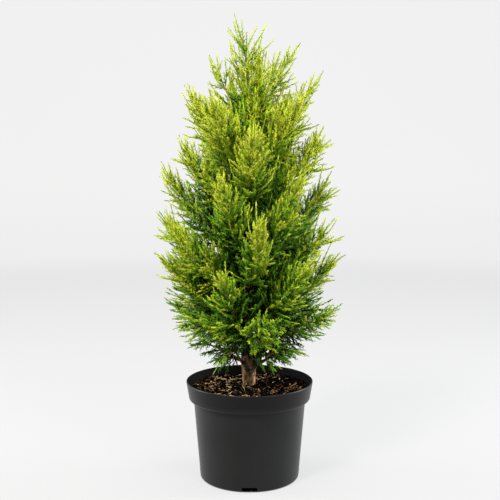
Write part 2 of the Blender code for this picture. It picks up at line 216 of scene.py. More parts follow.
# Plumes whose tip is lower may send lances past it
LANCES_UNDER = 0.50
# Plumes with a higher tip are of the open top, and with a lower one of the skirt
TOP_TIPS_FROM = 0.60
SKIRT_TIPS_UNDER = 0.21
# How many times further apart the sprays of each kind of plume are
SPARSER = {"leader": 3.4, "top": 1.9, "skirt": 4.2, "limbed": 1.8, "full": 1.0}
FEWEST_SPRAYS = 6
FIRST_SPRAY = 0.02
LAST_LEADER_SPRAY = 0.45
LANCE_STRETCH = 1.25
LENGTH_RANGE = (0.8, 1.15)
SIZE_RANGE = (0.85, 1.15)
TURN_JITTER = 0.3
# Spread from an axis in degrees: at its foot, how much less at its tip, and its disorder
SPRAY_SPREAD = (54, 34, 8)
SIDE_SPREAD = (48, 12, 6)
SPRIG_SPREAD = (47, 12, 5)
# A thin axis: its points, and its radius at its foot and at its tip
SPRAY_AXIS = (7, 0.0009, 0.00045)
LANCE_AXIS = (7, 0.0010, 0.00045)
SIDE_AXIS = (3, 0.0006, 0.0004)
SHORTEST_SIDE_SPRAY = 0.006
SHORTEST_SPRIG = 0.003
HEART_SPACING = 0.0050
HEART_UNDER = 0.55
# How far ahead on an axis its direction is read
AHEAD = 0.02
# Greatest tilt of the flat side about its axis, in radians
SPRAY_TILT = 0.6
LANCE_TILT = 0.5
SIDE_TILT = 0.25
# Fitting: how many tries, and what is left of the length after each that fails
SPRAY_FIT = (9, 0.84)
SIDE_FIT = (6, 0.7)
SPRIG_FIT = (4, 0.72)
# Place on its stem that gives an inner spray its tone
INNER_SHARE = 0.1
TRUNK_SHARE = 0.3
# Sprays under a limb: how much they follow it and hang, and their range of lengths in half widths
LIMB_SPRAY_WAY = (0.9, 0.3)
LIMB_SPRAY_LENGTHS = (0.5, 0.9)
TRUNK_SPRAY_RISE = (38, 58)
RISER_SPRAY_PLACES = np.linspace(0.55, 1.0, 8)
RISER_SPRAY_LENGTHS = (0.022, 0.034)
# Side lances: least and greatest rise, shortest one, and the stem points from which none starts
LANCE_RISE = (0.25, 0.8)
SHORTEST_LANCE = 0.045
LANCES_BEFORE = 18
LANCE_SIDE_PLACES = [0.08 + 0.09 * i for i in range(6)]
# How much duller than a plume's tip the lances are
SIDE_LANCE_DULLER = 0.4
LEADER_LANCE_DULLER = 0.5
# Side sprays: number for each spacing, place of the first and stretch that they take up
SIDE_SHARE = 0.66
SIDE_FROM, SIDE_RUN = 0.06, 0.64
# Length of a side spray at its parent's foot, and what it loses towards the tip
SIDE_REACH = (0.62, 0.38)
# Longest sprig of a side spray: a least length, and a share of the side spray's own
SIDE_SPRIG = (0.003, 0.35)
FEWEST_SPRIGS = 3
# How much a spray bends from its first way to its parent's, and where along it its room is measured
SPRAY_BEND = (0.45, 0.75)
MEASURED = (0.5, 0.75, 1.0)
# Part of the last sprig that has to fit too
TIP_SPRIG = 0.8
# Sprays of a skirt limb stand this many points of its line apart
SKIRT_STEP = 3
# Where in its own stretch of the stem each spray stands
PLACE_RANGE = (0.2, 0.8)
# Leader lances: how much the foot follows the stem, pulls of foot and tip, and sprigs further apart and
# shorter than elsewhere but for the one at the tip
LEADER_LANCE_FOLLOW = 0.5
LEADER_LANCE_PULLS = (0.33, 0.25)
LEADER_LANCE_SPRIGS = (1.15, 0.85)
LEADER_LANCE_TIP = 1.35
# Side lances: how much the tip rises, pulls of foot and tip, where sprigs begin, and lift of side sprays
SIDE_LANCE_RISE = 0.15
SIDE_LANCE_PULLS = (0.35, 0.3)
SIDE_LANCE_FIRST = 0.3
SIDE_LANCE_LIFT = 0.6
# Side sprays: share of the lift, room that the last sprig takes, and bend to the parent's way
SIDE_LIFT = 0.2
SIDE_ROOM = 1.1
SIDE_BEND = 0.5
OUT_OF_PLANE = 0.15
# Tone of the tip sprig above its spray's, and the place on a spray that has the spray's own tone
TIP_TONE = 0.5
TONE_PLACE = 0.6
# Tones: foot and height of the foliage, what a spray gains to its stem's tip, and what the top takes from
# the tone outwards and from the scatter
FOLIAGE_FOOT, FOLIAGE_HEIGHT = 0.15, 0.54
STEM_TIP_TONE = 0.7
TOP_EVENS_OUT = (0.55, 0.4)
# How near sprigs and sprays come to each limit
BOX_MARGIN = 0.003
TOP_MARGIN = 0.004
OUTLINE_MARGIN = 0.0015
SIDE_SPRAY_MARGIN = 0.006
BARK_MARGIN = 0.002

# Grades: (place, value) pairs that graded() reads between, by the share of a stem or by height
SPRAY_LENGTHS = ((0.0, 0.9), (0.28, 1.0), (0.86, 0.27))
LANCE_LENGTHS = ((0.0, 0.9), (0.28, 1.0), (0.86, 0.45))
TRUNK_SPRAY_LENGTHS = ((0.25, 0.078), (0.50, 0.066), (0.61, 0.045))
TOP_REACH_HEIGHTS = (0.40, 0.52)
LIFT_HEIGHTS = (0.17, 0.24, 0.34)
LEVEL_LIFT = -0.15
FEWER_SIDES = ((0.56, 1.0), (0.65, 0.4))
COMB_HEIGHTS = (0.18, 0.30)
SPRIG_DROOP_HEIGHTS = (0.17, 0.30)
SPRIG_SIZES = ((0.0, 0.72), (0.3, 1.0), (1.0, 0.42))
TOP_SHARE = ((0.42, 0.0), (0.60, 1.0))
SKIRT_SHARE = ((0.20, 1.0), (0.34, 0.0))
# By height: the least depth that gives a tone, what the tone of the leader loses, and the greatest tone
TOP_DEPTH = ((0.55, 0.0), (0.64, 0.85))
LEADER_LOSS = ((0.58, 0.0), (0.68, 1.2))
MOST_TONE = ((0.22, 2.0), (0.44, 5.0), (0.56, 5.0), (0.66, 3.3))
# By tone: the finish that it gets, with few between the greens and the yellows
TONE_STRETCH = ((-2, -2), (2, 2), (3, 4), (4, 5))

# Greens from the shaded heart to the lit tips, as they look in even light: lit and shaded copies of the
# foliage that paint its light and shade, and the yellower green of its young tips
TONES = (
    ("shade", "#081203"),
    ("deep", "#2B4D0F"),
    ("leaf", "#548614"),
    ("young", "#789C14"),
    ("fresh", "#9CAA1A"),
    ("lime", "#B1B631"),
)
MOST_TRIANGLES = 180_000
# Stems turn from brown to tan and from tan to green at these of their points
STEM_TAN = 10
STEM_GREEN = 17
STEM_TIP_RADIUS = 0.0006
FULL_HALF_WIDTH = 0.044
WHITE = (1.0, 1.0, 1.0, 1.0)


def linear(hex_colour):
    """The linear RGBA of a colour written as #RRGGBB."""
    parts = [int(hex_colour[i : i + 2], 16) / 255 for i in (1, 3, 5)]
    return (*[c / 12.92 if c <= 0.04045 else ((c + 0.055) / 1.055) ** 2.4 for c in parts], 1.0)


def shaded(colour, share):
    return (*[c * share for c in colour[:3]], 1.0)


def grey(share):
    return shaded(WHITE, share)


def add_piece(name, mesh):
    piece = bpy.data.objects.new(name, mesh)
    bpy.context.scene.collection.objects.link(piece)
    return piece


def mesh_of(guide, name):
    """The finished mesh of an object with its modifiers, which is then removed."""
    bpy.context.view_layer.update()
    mesh = bpy.data.meshes.new_from_object(guide.evaluated_get(bpy.context.evaluated_depsgraph_get()))
    bpy.data.objects.remove(guide, do_unlink=True)
    mesh.name = name
    return mesh


def mesh_from(shape, name):
    """A mesh with the faces of a BMesh, which is then freed."""
    mesh = bpy.data.meshes.new(name)
    shape.to_mesh(mesh)
    shape.free()
    return mesh


def declare(piece, slot, *nodes):
    """Says what a finished piece rides on and hides the solids that it stands for; its slot is not used."""
    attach(piece, BODY)
    if nodes:
        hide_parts(*nodes)


# Node trees


class NodeTree:
    """A short way to write a node tree: add a node with its settings and inputs, and wire it at once."""

    def __init__(self, tree):
        self.tree = tree

    def feed(self, socket, value):
        if isinstance(value, bpy.types.NodeSocket):
            self.tree.links.new(value, socket)
        else:
            socket.default_value = value

    def add(self, kind, inputs=None, **settings):
        node = self.tree.nodes.new(kind)
        for name, value in settings.items():
            setattr(node, name, value)
        for key, value in (inputs or {}).items():
            self.feed(node.inputs[key], value)
        return node

    def out(self, kind, inputs=None, output=0, **settings):
        return self.add(kind, inputs, **settings).outputs[output]

    def math(self, operation, *values):
        return self.out("ShaderNodeMath", dict(enumerate(values)), operation=operation)

    def vector(self, operation, *values, output=0):
        return self.out("ShaderNodeVectorMath", dict(enumerate(values)), output, operation=operation)

    def scaled(self, vector, scale):
        return self.out("ShaderNodeVectorMath", {0: vector, "Scale": scale}, operation="SCALE")

    def part(self, vector, axis):
        return self.out("ShaderNodeSeparateXYZ", {"Vector": vector}, axis)

    def off_axis(self, place):
        """How far a place is from the Z axis."""
        return self.vector("LENGTH", self.vector("MULTIPLY", place, (1.0, 1.0, 0.0)), output="Value")

    def mapped(self, value, least, most, low=0.0, high=1.0):
        """A value carried from one range to another and held within it."""
        ends = {"From Min": least, "From Max": most, "To Min": low, "To Max": high}
        return self.out("ShaderNodeMapRange", {"Value": value, **ends})

    def noise(self, place, scale, detail=3.0, rough=0.5):
        inputs = {"Vector": place, "Scale": scale, "Detail": detail, "Roughness": rough}
        return self.out("ShaderNodeTexNoise", inputs)


class GeometryTree(NodeTree):
    """A Geometry Nodes tree with one geometry, and inputs of the given names and types, going in."""

    def __init__(self, name, **sockets):
        super().__init__(bpy.data.node_groups.new(name, "GeometryNodeTree"))
        self.identifiers = {}
        for key, kind in {"Geometry": "Geometry", **sockets, "Material": "Material"}.items():
            made = self.tree.interface.new_socket(key, in_out="INPUT", socket_type=f"NodeSocket{kind}")
            self.identifiers[key] = made.identifier
        self.tree.interface.new_socket("Geometry", in_out="OUTPUT", socket_type="NodeSocketGeometry")
        self.given = self.tree.nodes.new("NodeGroupInput").outputs

    def named(self, name, kind="FLOAT"):
        return self.out("GeometryNodeInputNamedAttribute", {"Name": name}, data_type=kind)

    def store(self, geometry, name, value, kind="FLOAT"):
        inputs = {"Geometry": geometry, "Name": name, "Value": value}
        return self.out("GeometryNodeStoreNamedAttribute", inputs, data_type=kind)

    def picked(self, collection):
        """The objects of a collection, to be picked one for each point."""
        inputs = {"Collection": self.given[collection], "Separate Children": True, "Reset Children": True}
        return {"Instance": self.out("GeometryNodeCollectionInfo", inputs), "Pick Instance": True}

    def finish(self, geometry):
        realized = self.out("GeometryNodeRealizeInstances", {"Geometry": geometry})
        smooth = self.out("GeometryNodeSetShadeSmooth", {"Geometry": realized})
        inputs = {"Geometry": smooth, "Material": self.given["Material"]}
        painted = self.out("GeometryNodeSetMaterial", inputs)
        self.feed(self.tree.nodes.new("NodeGroupOutput").inputs[0], painted)
        return self

    def apply(self, name, source, values):
        """The plain mesh object that this tree makes from a source mesh with these named inputs."""
        guide = add_piece(f"{name}_guide", source)
        modifier = guide.modifiers.new("growth", "NODES")
        modifier.node_group = self.tree
        for key, value in values.items():
            modifier[self.identifiers[key]] = value
        return add_piece(name, mesh_of(guide, name))


# Materials


class Finish(NodeTree):
    """A procedural material on the piece's own coordinates."""

    def __init__(self, name, roughness, specular):
        self.material = bpy.data.materials.new(name)
        self.material.use_nodes = True
        super().__init__(self.material.node_tree)
        self.shader = self.tree.nodes["Principled BSDF"].inputs
        self.shader["Roughness"].default_value = roughness
        self.shader["Specular IOR Level"].default_value = specular
        self.place = self.out("ShaderNodeTexCoord", output="Object")
        self.height = self.part(self.place, "Z")

    def stretched(self, *scale):
        return self.out("ShaderNodeMapping", {"Vector": self.place, "Scale": scale})

    def ramp(self, value, *stops):
        """A colour ramp through (position, colour) stops."""
        node = self.add("ShaderNodeValToRGB", {"Fac": value})
        elements = node.color_ramp.elements
        while len(elements) < len(stops):
            elements.new(1.0)
        for element, (position, colour) in zip(elements, stops):
            element.position = position
            element.color = colour
        return node.outputs["Color"]

    def mix(self, share, first, second, blend="MIX"):
        inputs = {0: share, 6: first, 7: second}
        return self.out("ShaderNodeMix", inputs, 2, data_type="RGBA", blend_type=blend)

    def tinted(self, colour, tint):
        return self.mix(1.0, colour, tint, "MULTIPLY")

    def done(self, colour, relief, strength, distance):
        """Feeds the colour and a bump of this strength and depth to the shader."""
        self.feed(self.shader["Base Color"], colour)
        inputs = {"Height": relief, "Strength": strength, "Distance": distance}
        self.feed(self.shader["Normal"], self.out("ShaderNodeBump", inputs))
        return self.material


def foliage_material(name, colour, specular):
    """Scale leaves: a green that wavers a little, with the fine relief of overlapping scales."""
    leaf = Finish(name, 0.5, specular)
    waver = leaf.noise(leaf.place, 70.0, 2.0)
    greens = leaf.ramp(waver, (0.35, shaded(colour, 0.82)), (0.65, shaded(colour, 1.15)))
    scales = leaf.out("ShaderNodeTexVoronoi", {"Vector": leaf.place, "Scale": 850.0})
    return leaf.done(greens, scales, 0.5, 0.0004)


def bark_material(name, pale, dark, moss):
    """Young bark: creased grey-brown with pale peeling patches, painted shade in its creases, painted shade
    of the foliage that makes it darker higher up, and mossy on its right.
    """
    bark = Finish(name, 0.85, 0.2)
    along = bark.stretched(1.0, 1.0, 0.6)
    patches = bark.noise(along, 170.0, 6.0, 0.65)
    browns = (0.34, dark), (0.47, shaded(pale, 0.7)), (0.56, pale), (0.70, shaded(pale, 1.7))
    colour = bark.ramp(patches, *browns)
    blotches = bark.noise(bark.stretched(1.0, 1.0, 0.8), 75.0, 3.0, 0.55)
    colour = bark.tinted(colour, bark.ramp(blotches, (0.40, (0.22, 0.19, 0.17, 1)), (0.54, WHITE)))
    knots = bark.out("ShaderNodeTexVoronoi", {"Vector": bark.place, "Scale": 110.0})
    knot = bark.ramp(knots, (0.10, WHITE), (0.17, grey(0)))
    colour = bark.mix(knot, colour, shaded(pale, 1.8))
    # Painted shade of the foliage above: the bark darker higher up
    colour = bark.tinted(colour, bark.ramp(bark.height, (0.150, WHITE), (0.185, (0.42, 0.38, 0.34, 1))))
    relief = bark.out("ShaderNodeAttribute", attribute_name="relief", output="Fac")
    # Painted shade in the creases: darker where the relief is low
    colour = bark.tinted(colour, bark.ramp(relief, (0.30, grey(0.25)), (0.55, WHITE)))
    right = bark.mapped(bark.part(bark.place, "X"), 0.004, 0.012, 0.0, 0.55)
    share = bark.math("MULTIPLY", right, bark.noise(bark.place, 260.0))
    colour = bark.mix(share, colour, moss)
    return bark.done(colour, bark.noise(along, 900.0, 4.0, 0.65), 0.6, 0.0005)


def twig_material(name, colour):
    """Thin stems: one colour, lighter and darker in patches, with a fine grain."""
    twig = Finish(name, 0.7, 0.3)
    patches = twig.noise(twig.place, 120.0, 4.0, 0.6)
    browns = twig.ramp(patches, (0.35, shaded(colour, 0.6)), (0.68, shaded(colour, 1.3)))
    return twig.done(browns, twig.noise(twig.place, 1500.0), 0.4, 0.0002)


def pot_material(name, colour):
    """Matt moulded plastic: charcoal, faintly clouded, scuffed and grained, with painted shade on the collar,
    and dull with painted shade on the inner wall.
    """
    pot = Finish(name, 0.4, 0.20)
    clouds = pot.noise(pot.place, 16.0, 5.0, 0.6)
    base = pot.ramp(clouds, (0.30, shaded(colour, 0.86)), (0.70, shaded(colour, 1.16)))
    streaks = pot.noise(pot.stretched(1.0, 1.0, 0.05), 160.0, 3.0, 0.6)
    scuffed = pot.ramp(streaks, (0.60, grey(0)), (0.80, WHITE))
    base = pot.mix(pot.math("MULTIPLY", scuffed, 0.10), base, shaded(colour, 4.0))
    # Painted shade on the collar, which is darker than the body below it
    base = pot.tinted(base, pot.ramp(pot.height, (0.121, WHITE), (0.128, grey(0.36))))
    # Half way through the wall, whose radius grows by 0.158 per unit of height up to 0.0941 at the rim
    middle = pot.math("MULTIPLY_ADD", pot.height, 0.158, 0.0941 - 0.158 * POT_HEIGHT)
    within = pot.math("LESS_THAN", pot.off_axis(pot.place), middle)
    inside = pot.math("MULTIPLY", within, pot.math("GREATER_THAN", pot.height, POT_HEIGHT - 0.02))
    # Painted shade on the inner wall, where soil and foliage shade it
    base = pot.mix(inside, base, shaded(colour, 0.2))
    gloss = pot.math("MAXIMUM", pot.mapped(clouds, 0.0, 1.0, 0.30, 0.42), inside)
    pot.feed(pot.shader["Roughness"], gloss)
    return pot.done(base, pot.noise(pot.place, 1400.0, 3.0, 0.6), 0.18, 0.0003)


def soil_material(name, dark, brown):
    """Moist peat in dark and brown clods, with painted shade where it lies deep behind the drain notches."""
    peat = Finish(name, 1.0, 0.0)
    clods = peat.noise(peat.place, 130.0, 8.0, 0.7)
    base = peat.ramp(clods, (0.34, dark), (0.56, brown), (0.78, shaded(brown, 2.2)))
    # Painted shade: darker low down, where it is seen deep in the drain notches
    base = peat.tinted(base, peat.ramp(peat.height, (0.03, grey(0.1)), (0.10, WHITE)))
    return peat.done(base, peat.noise(peat.place, 700.0, 6.0, 0.7), 0.9, 0.001)


def litter_material(name, colour, spread):
    """Loose bits: one colour that differs from bit to bit."""
    litter = Finish(name, 0.85, 0.02)
    bits = litter.noise(litter.place, 95.0, 4.0, 0.7)
    base = litter.ramp(bits, (0.36, shaded(colour, 1 - spread)), (0.64, shaded(colour, 1 + spread)))
    return litter.done(base, litter.noise(litter.place, 1300.0, 4.0, 0.6), 0.5, 0.0003)


# Plume rule, written as in the solids


def trunk_at(height):
    """The trunk's centre and radius at a height, or at each of many."""
    heights, *columns = zip(*TRUNK_LINE)
    x, y, radius = (np.interp(height, heights, column) for column in columns)
    return np.stack((x, y, np.asarray(height, float)), -1), radius


def trunk_side(height, level, limb_radius):
    """The point beside the trunk where a limb starts clear of the bark, out along this level way."""
    centre, _ = trunk_at(height)
    reach = 0.0
    for step in np.linspace(-1.0, 1.0, 5):
        near, radius = trunk_at(height + step * limb_radius)
        reach = max(reach, float((near - centre) @ level) + radius)
    return centre + level * (reach + CLEAR)


def out_way(azimuth, pitch):
    level = math.cos(pitch)
    return np.array((math.cos(azimuth) * level, math.sin(azimuth) * level, math.sin(pitch)))


def bezier(grip, t):
    a, b, c, d = grip
    t = np.asarray(t, float)[..., None]
    s = 1 - t
    return a * s**3 + b * (3 * s * s * t) + c * (3 * s * t * t) + d * t**3


def unit(vectors):
    return vectors / np.linalg.norm(vectors, axis=-1, keepdims=True)


class Plume:
    """One plume's plan: the line of its limb and stem, from the trunk's surface to its tip."""

    def __init__(self, root, out, root_way, tip, tip_way, half_width, limbed):
        self.half_width = half_width
        self.limbed = limbed
        length = np.linalg.norm(tip - root)
        stub = root + out * ROOT_STUB
        grip = (stub, stub + root_way * length * ROOT_PULL, tip - tip_way * length * TIP_PULL, tip)
        self.line = np.vstack([root, bezier(grip, np.linspace(0, 1, STEM_POINTS - 1))])
        self.length = float(np.linalg.norm(np.diff(self.line, axis=0), axis=1).sum())
        self.limb_end = round(LIMB_SHARE * (STEM_POINTS - 1)) if limbed else 0

    def at(self, share):
        """The stem's point and direction at this share of its leafy part."""
        last = STEM_POINTS - 1
        place = self.limb_end + share * (last - self.limb_end)
        i = min(int(place), last - 1)
        a, b = self.line[i], self.line[i + 1]
        return a + (b - a) * (place - i), unit(b - a)


def plume_plans():
    """Every plume, tier by tier and evenly round the trunk, with the same seeded disorder as the solids."""
    rng = random.Random(RULE_SEED)
    plans = []
    for name, count, root_z, tip_z, reach, rise, pitch, first, half_width in TIERS:
        limbed = name in LIMBED_TIERS
        for i in range(count):
            azimuth = math.radians(first + 360 * i / count + rng.uniform(-AZIMUTH_JITTER, AZIMUTH_JITTER))
            height = root_z + ROOT_CLIMB * (i * ROOT_STEP % 1.0)
            level = out_way(azimuth, 0)
            root = trunk_side(height, level, LIMB_ROOT_RADIUS if limbed else STEM_ROOT_RADIUS)
            tip_reach = reach * (1 + rng.uniform(-REACH_JITTER, REACH_JITTER))
            tip_height = tip_z + rng.uniform(-TIP_HEIGHT_JITTER, TIP_HEIGHT_JITTER)
            tip = level * tip_reach + UP * tip_height
            tip_way = out_way(azimuth, math.radians(pitch + rng.uniform(-PITCH_JITTER, PITCH_JITTER)))
            root_way = out_way(azimuth, math.radians(rise))
            plans.append(Plume(root, level, root_way, tip, tip_way, half_width, limbed))
    root = trunk_at(TRUNK_LINE[-1][0])[0] + UP * CLEAR
    plans.append(Plume(root, UP, UP, LEADER_TIP, unit(LEADER_TIP - root), LEADER_WIDTH, False))
    return plans


# Foliage, carried on from the plumes to finer twigs


def graded(place, grades):
    return float(np.interp(place, *zip(*grades)))


def turned_about(vectors, axis, angle):
    """Vectors turned about a unit axis by an angle."""
    cos, sin = np.cos(angle), np.sin(angle)
    return vectors * cos + np.cross(axis, vectors) * sin + axis * (axis @ vectors) * (1 - cos)


def square_to(along, angle, nudge=0.0):
    """A way square to this one, turned about it by an angle."""
    return turned_about(unit(np.cross(along, UP) + nudge), along, angle)


def curved_grip(start, way, bend, length):
    """Bezier points of an axis that leaves along one way and bends towards another."""
    knee = start + way * length * 0.5
    return start, start + way * length * 0.25, knee, knee + unit(bend) * length * 0.55


def spread_at(spread, share, rng, count=None):
    """The angle between an axis and what grows from it at this share of it."""
    foot, less, disorder = spread
    return np.radians(foot - less * share + rng.uniform(-disorder, disorder, count))


def axis_line(grip, points, foot_radius, tip_radius):
    return bezier(grip, np.linspace(0, 1, points)), np.linspace(foot_radius, tip_radius, points)


def outline_at(heights):
    return np.interp(heights, *zip(*OUTLINE))


class Growth:
    """Collects the twigs and the sprigs of every plume."""

    def __init__(self, settings):
        self.settings = settings
        self.rng = np.random.default_rng(settings.seed)
        self.plans = plume_plans()
        self.lines = np.array([plan.line for plan in self.plans])
        self.spray_axes = []
        self.side_axes = []
        self.sprigs = []
        for owner, plan in enumerate(self.plans):
            self.grow_plume(owner, plan)
        self.grow_trunk_sprays()
        self.grow_riser_sprays()
        self.grow_side_lances()

    def in_own_space(self, owner, points, lance, crowded):
        """Whether these points are inside the outline, off the pot and, unless crowded, by their own stem."""
        settings = self.settings
        away = np.linalg.norm(self.lines[:, None] - points[None, :, None], axis=3).min(axis=2)
        own = away[owner].copy()
        away[owner] = math.inf
        clear = crowded | (own < away.min(axis=0) + settings.mingling)
        out = np.hypot(points[:, 0], points[:, 1])
        highest = CAD_BOX[1].z - TOP_MARGIN
        furthest = outline_at(points[:, 2]) - settings.edge_margin
        tip = self.lines[owner][-1]
        if not lance or tip[2] > LANCES_UNDER:
            room = settings.tip_room + (settings.low_room if tip[2] < LANCES_UNDER else 0.0)
            highest = min(highest, tip[2] + room)
            if not crowded:
                furthest = np.minimum(furthest - settings.edge_depth, math.hypot(tip[0], tip[1]) + room)
        level = (points[:, 2] > settings.lowest_leaf) & (points[:, 2] < highest)
        return bool((clear & (out < furthest) & level).all())

    def kind_of(self, plan):
        height = plan.line[-1][2]
        if plan is self.plans[-1]:
            return "leader"
        if height > TOP_TIPS_FROM:
            return "top"
        if height < SKIRT_TIPS_UNDER:
            return "skirt"
        return "limbed" if plan.limbed else "full"

    def grow_plume(self, owner, plan):
        """Sprays under the limb, then all round the stem, then sprigs straight on its outer part."""
        rng, settings = self.rng, self.settings
        bare = plan.limb_end
        kind = self.kind_of(plan)
        spacing = settings.spray_spacing * SPARSER[kind]
        count = max(FEWEST_SPRAYS, round(plan.length * (1 - bare / (STEM_POINTS - 1)) / spacing))
        follow, hang = LIMB_SPRAY_WAY
        for k in range(bare - 1, 1, -SKIRT_STEP if kind == "skirt" else -1):
            along = unit(plan.line[k + 1] - plan.line[k])
            way = unit(along * follow + square_to(along, rng.uniform(0, FULL_TURN)) - UP * hang)
            length = plan.half_width * rng.uniform(*LIMB_SPRAY_LENGTHS)
            self.grow_spray(owner, INNER_SHARE, plan.line[k], along, way, length)
        turned = rng.uniform(0, FULL_TURN)
        for k in range(count):
            share = FIRST_SPRAY + settings.spray_share * (k + rng.uniform(*PLACE_RANGE)) / count
            start, along = plan.at(share)
            turned += GOLDEN_ANGLE + rng.uniform(-TURN_JITTER, TURN_JITTER)
            spread = spread_at(SPRAY_SPREAD, share, rng)
            way = along * math.cos(spread) + square_to(along, turned, NUDGE) * math.sin(spread)
            lance = rng.random() < settings.lance_share
            length = plan.half_width * settings.spray_reach * rng.uniform(*LENGTH_RANGE)
            length *= graded(share, LANCE_LENGTHS if lance else SPRAY_LENGTHS)
            length *= np.interp(start[2], TOP_REACH_HEIGHTS, (1.0, settings.top_reach))
            length *= LANCE_STRETCH if lance else 1.0
            if kind != "leader" or share <= LAST_LEADER_SPRAY:
                self.grow_spray(owner, share, start, along, way, length, lance)
        if kind == "leader":
            self.grow_leader_lances(plan)
        self.grow_tail(plan)

    def grow_leader_lances(self, plan):
        """The open fan of narrow sprays round the leader."""
        settings = self.settings
        foot, head = LEADER_LANCE_PULLS
        apart, short = LEADER_LANCE_SPRIGS
        for share, tip in LEADER_LANCES:
            start, along = plan.at(share)
            reach = np.array(tip) - start
            length = float(np.linalg.norm(reach))
            way = unit(reach / length + along * LEADER_LANCE_FOLLOW)
            end = np.array(tip) - reach / length * settings.lance_sprig
            grip = start, start + way * length * foot, end - reach * head, end
            side = unit(np.cross(reach, np.cross(along, reach)) + NUDGE)
            normal = turned_about(side, unit(reach), SPRAY_TILT)
            self.spray_axes.append(axis_line(grip, *SPRAY_AXIS))
            spacing, longest = settings.sprig_spacing * apart, settings.lance_sprig * short
            tone = self.tip_tone(end) - LEADER_LANCE_DULLER
            self.set_sprigs(grip, normal, length, spacing, longest, tone, tip_size=LEADER_LANCE_TIP)

    def grow_trunk_sprays(self):
        """Steep sprays straight from the upper trunk, which close the heart of the plant."""
        rng, settings = self.rng, self.settings
        owner = len(self.plans) - 1
        turned = 0.0
        for height in np.arange(settings.trunk_sprays_from, TRUNK_LINE[-1][0], settings.trunk_spacing):
            start, radius = trunk_at(height)
            turned += GOLDEN_ANGLE + rng.uniform(-TURN_JITTER, TURN_JITTER)
            way = out_way(turned, math.radians(rng.uniform(*TRUNK_SPRAY_RISE)))
            length = graded(height, TRUNK_SPRAY_LENGTHS) * rng.uniform(*LENGTH_RANGE)
            side = start + out_way(turned, 0.0) * radius
            self.grow_spray(owner, TRUNK_SHARE, side, UP, way, length, crowded=True)

    def grow_riser_sprays(self):
        """Dull inner sprays on the upper half of the steep shoots by the fork."""
        for riser in RISERS:
            turned = self.rng.uniform(0, FULL_TURN)
            for place in RISER_SPRAY_PLACES:
                start, ahead = bezier(np.array(riser), (place, place + AHEAD))
                along = unit(ahead - start)
                turned += GOLDEN_ANGLE
                way = unit(along + square_to(along, turned))
                length = self.rng.uniform(*RISER_SPRAY_LENGTHS)
                self.grow_spray(0, INNER_SHARE, start, along, way, length, crowded=True)

    def grow_side_lances(self):
        """Long narrow sprays from the nearest stems, not from their outer ends, up to the given tips."""
        settings = self.settings
        foot, head = SIDE_LANCE_PULLS
        for tip in np.array(SIDE_TIPS):
            away = np.linalg.norm(self.lines - tip, axis=2)
            rise = (tip[2] - self.lines[:, :, 2]) / away
            away[(rise < LANCE_RISE[0]) | (rise > LANCE_RISE[1]) | (away < SHORTEST_LANCE)] = math.inf
            away[:, LANCES_BEFORE:] = math.inf
            owner, k = np.unravel_index(away.argmin(), away.shape)
            start, before = self.lines[owner][k], self.lines[owner][k - 1]
            reach = tip - start
            length = float(np.linalg.norm(reach))
            end = tip - reach / length * settings.lance_sprig
            way = unit(unit(start - before) + reach / length)
            tip_way = unit(reach + UP * SIDE_LANCE_RISE * length)
            grip = start, start + way * length * foot, end - tip_way * length * head, end
            tilt = self.rng.uniform(-LANCE_TILT, LANCE_TILT)
            normal = unit(turned_about(np.cross(reach, np.cross(UP, reach)), unit(reach), tilt))
            self.spray_axes.append(axis_line(grip, *LANCE_AXIS))
            tone = self.tip_tone(end) - SIDE_LANCE_DULLER
            spacing, longest = settings.sprig_spacing, settings.sprig_length
            self.set_sprigs(grip, normal, length, spacing, longest, tone, first=SIDE_LANCE_FIRST)
            for i, place in enumerate(LANCE_SIDE_PLACES):
                hand = 1 if i % 2 else -1
                shorter = min(length, SHORTEST_LANCE)
                self.grow_side_spray(grip, place, hand, normal, shorter, SIDE_LANCE_LIFT, tone)

    def grow_spray(self, owner, share, start, along, way, length, lance=False, crowded=False):
        """One spray: a curved axis, shortened until it fits, with side sprays where it is well lit."""
        rng, settings = self.rng, self.settings
        lift = float(np.interp(start[2], LIFT_HEIGHTS, (settings.droop, LEVEL_LIFT, settings.lift)))
        longest = settings.lance_sprig if lance else settings.sprig_length
        tries, left = SPRAY_FIT
        bend = way * SPRAY_BEND[0] + along * SPRAY_BEND[1] + UP * lift
        for _ in range(tries):
            grip = curved_grip(start, way, bend, length)
            end = grip[3] + unit(grip[3] - grip[2]) * longest * TIP_SPRIG
            if self.in_own_space(owner, np.vstack([bezier(grip, MEASURED), end]), lance, crowded):
                break
            length *= left
        if length < settings.shortest_spray:
            return
        tip = grip[3]
        tone = self.tone_of(tip, share)
        tilt = rng.uniform(-SPRAY_TILT, SPRAY_TILT)
        normal = unit(turned_about(np.cross(way, np.cross(along, way)), way, tilt))
        self.spray_axes.append(axis_line(grip, *SPRAY_AXIS))
        if tip[2] < HEART_UNDER and self.depth(tip) < settings.heart:
            self.set_sprigs(grip, normal, length, HEART_SPACING, settings.heart_length, tone)
            return
        sides = SIDE_SHARE * length / settings.side_spacing * graded(tip[2], FEWER_SIDES)
        count = 0 if lance else int(sides)
        first = 0.5 if count > 1 else 0.0
        self.set_sprigs(grip, normal, length, settings.sprig_spacing, longest, tone, first=first)
        for k in range(count):
            place = SIDE_FROM + SIDE_RUN * (k + 0.5) / count
            self.grow_side_spray(grip, place, 1 if k % 2 else -1, normal, length, lift, tone)

